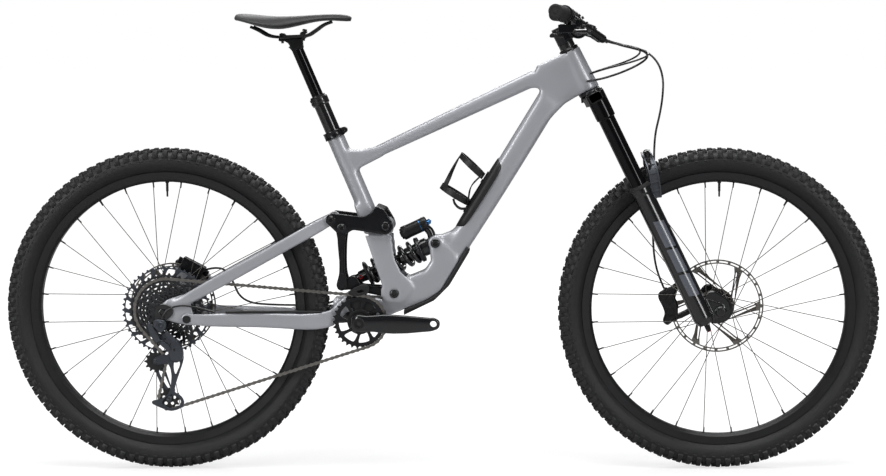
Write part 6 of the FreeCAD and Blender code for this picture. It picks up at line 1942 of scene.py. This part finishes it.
HATCH_OUT = Vector(JOINTS["hatch_open"]["axis"]).normalized()
HATCH_UP = Vector((HATCH_OUT.z, 0, -HATCH_OUT.x))
HATCH_FOOT = middle_of("storage_door") + Vector((2.2, 0, -1.4)) * MM - HATCH_UP * 84 * MM
HATCH_FOOT.y = 0.0


def on_hatch(along, out=0.0, side=0.0):
    return HATCH_FOOT + (HATCH_UP * along + HATCH_OUT * out + Vector((0, side, 0))) * MM


def hatch():
    rings = []
    for along, half, drop, rise in ((-16, 12, 3, 1.0), (-12, 20, 8, 2.0), (0, 29, 15, 2.6), (20, 33.0, 18, 3.0),
                                    (80, 33.4, 19, 3.0), (130, 33.0, 19, 3.0), (156, 31, 18, 2.8), (170, 24, 12, 2.2),
                                    (176, 14, 5, 1.0)):
        outer = [
            (half, -drop), (half + 0.6, -drop * 0.6), (half - 1.5, -1.5), (half * 0.6, rise),
            (0, rise + 0.6), (-half * 0.6, rise), (-half + 1.5, -1.5), (-half - 0.6, -drop * 0.6),
            (-half, -drop)]
        inner = [(-half + 3, -drop), (-half * 0.6, -4.5), (0, -4.5), (half * 0.6, -4.5), (half - 3, -drop)]
        rings.append([on_hatch(along, out, side) for side, out in outer + inner])
    door = sections_skin("hatch_door", rings)
    surface = door.modifiers.new("surface", "SUBSURF")
    surface.levels = surface.render_levels = 2
    baked(door)
    finished(door, PLASTIC, "storage_hatch", ["storage_door"])


hatch()


def cage():
    """A moulded side-entry cage: a back plate, a lower cup, an upper hoop and the straps between them."""
    parts = []
    radius = 37.5
    centre = 4 + radius

    def round_bottle(along, turn, lift=0.0):
        return on_hatch(along, centre + radius * math.cos(turn) + lift, radius * math.sin(turn))

    for along, start, stop, wide, slope in ((50, -180, 180, 14, 0.0), (126, -150, 150, 13, 16)):
        line = []
        for step in range(41):
            turn = math.radians(start + (stop - start) * step / 40)
            line.append(round_bottle(along + slope * (0.5 + 0.5 * math.cos(turn)) - slope * 0.5, turn))
        parts.append(strap(line, (wide, wide), 2.6, (HATCH_UP, HATCH_UP)))
    for side in (-1, 1):
        line = smooth_line(
            [
                round_bottle(50, math.radians(side * 35)), round_bottle(70, math.radians(side * 30)),
                round_bottle(92, math.radians(side * 20)), round_bottle(118, math.radians(side * 8)),
                round_bottle(132, math.radians(side * 4))],
            6)
        parts.append(strap(line, (11, 6), 2.6, (HATCH_OUT, Vector((0, side, 0)))))
        line = smooth_line(
            [
                round_bottle(44, math.radians(side * 170)), round_bottle(62, math.radians(side * 140)),
                round_bottle(84, math.radians(side * 125)), round_bottle(104, math.radians(side * 130)),
                round_bottle(120, math.radians(side * 140))],
            6)
        parts.append(strap(line, (13, 8), 2.6, (Vector((0, 1, 0)), Vector((0, 1, 0)))))
    spine = smooth_line([on_hatch(26, 4.4), on_hatch(60, 4.6), on_hatch(100, 4.6), on_hatch(134, 4.4)], 6)
    parts.append(strap(spine, (24, 20), 3.2, (Vector((0, 1, 0)), Vector((0, 1, 0)))))
    floor_line = smooth_line([on_hatch(34, 4), on_hatch(28, 14), on_hatch(30, 30), on_hatch(38, 40)], 6)
    parts.append(strap(floor_line, (22, 16), 4.4, (Vector((0, 1, 0)), Vector((0, 1, 0)))))
    for along in (52, 108):
        parts.append(button(on_hatch(along, 6.0), HATCH_OUT, 4.6, 1.8, 2.5))
    made("cage_straps", parts, PLASTIC, "storage_hatch", "black_plastic", ["bottle_cage"], 40)


cage()

CARRIED = {
    "front_rim": SATIN, "rear_rim": SATIN, "front_hub": FORGED, "rear_hub": FORGED, "front_spokes": SPOKE,
    "rear_spokes": SPOKE, "bearing_cups": SATIN, "seatpost_outer": GLOSS,
    "seatpost_inner": STANCHION, "steering_hardware": FORGED, "handlebar": SATIN, "rear_axle": SATIN,
}
for node, material in CARRIED.items():
    for slot in frame["nodes"][node].material_slots:
        slot.link = "OBJECT"
        slot.material = material


# ---------------------------------------------------------------- floor and light

def floor_finish():
    """A pale floor that is seen as white away from the bike and still takes its shadow."""
    finish = Finish("floor", (0.42, 0.42, 0.425))
    across, deep, _ = finish.axes(finish.place())
    away = (across * across + deep * deep).power(0.5)
    white = finish.ramp(away / 20, (0.0, 0.66), (0.12, 0.76), (0.22, 0.93), (0.4, 0.98), (1.0, 0.985))
    glow = finish.node("ShaderNodeEmission", None, Color=(1, 1, 1), Strength=white)
    both = finish.node("ShaderNodeAddShader")
    finish.tree.links.new(finish.shader.outputs[0], both.socket.node.inputs[0])
    finish.tree.links.new(glow.socket, both.socket.node.inputs[1])
    seen = finish.node("ShaderNodeLightPath")
    chosen = finish.node("ShaderNodeMixShader")
    for index, socket in enumerate((seen.socket, finish.shader.outputs[0], both.socket)):
        finish.tree.links.new(socket, chosen.socket.node.inputs[index])
    finish.tree.links.new(chosen.socket, finish.tree.nodes["Material Output"].inputs[0])
    grain = finish.noise(3, 2)
    finish.vary(Roughness=0.9 + (grain - 0.5) * 0.05)
    return finish.material


FLOOR_HALF = 60
floor = solid("floor", [(-FLOOR_HALF, -FLOOR_HALF, 0), (FLOOR_HALF, -FLOOR_HALF, 0),
                        (FLOOR_HALF, FLOOR_HALF, 0), (-FLOOR_HALF, FLOOR_HALF, 0)], [(0, 1, 2, 3)])
floor.data.materials.append(floor_finish())

world = bpy.data.worlds.new("studio")
bpy.context.scene.world = world
world.use_nodes = True
tree = world.node_tree
plain = tree.nodes["Background"]
plain.inputs["Color"].default_value = (1, 1, 1, 1)
plain.inputs["Strength"].default_value = 0.08
backdrop = tree.nodes.new("ShaderNodeBackground")
backdrop.inputs["Color"].default_value = (1, 1, 1, 1)
backdrop.inputs["Strength"].default_value = 1.0
rays = tree.nodes.new("ShaderNodeLightPath")
choice = tree.nodes.new("ShaderNodeMixShader")
tree.links.new(rays.outputs["Is Camera Ray"], choice.inputs[0])
tree.links.new(plain.outputs[0], choice.inputs[1])
tree.links.new(backdrop.outputs[0], choice.inputs[2])
tree.links.new(choice.outputs[0], tree.nodes["World Output"].inputs[0])


def lamp(name, place, target, wide, tall, power):
    data = bpy.data.lights.new(name, "AREA")
    data.shape = "RECTANGLE"
    data.size = wide
    data.size_y = tall
    data.energy = power
    item = linked(name, data)
    item.location = place
    item.rotation_euler = (Vector(target) - Vector(place)).to_track_quat("-Z", "Y").to_euler()


lamp("top_panel", (-0.2, -1.0, 4.4), (0, 0, 0.4), 4.6, 2.2, 138)
lamp("left_panel", (-3.4, -4.0, 1.9), (0, 0, 0.55), 0.9, 3.0, 80)
lamp("right_panel", (3.6, -4.0, 2.0), (0, 0, 0.55), 0.9, 3.0, 80)
lamp("rear_panel", (0.4, 3.4, 3.0), (0, 0, 0.6), 3.4, 1.6, 85)

bpy.context.scene.view_settings.view_transform = "Standard"
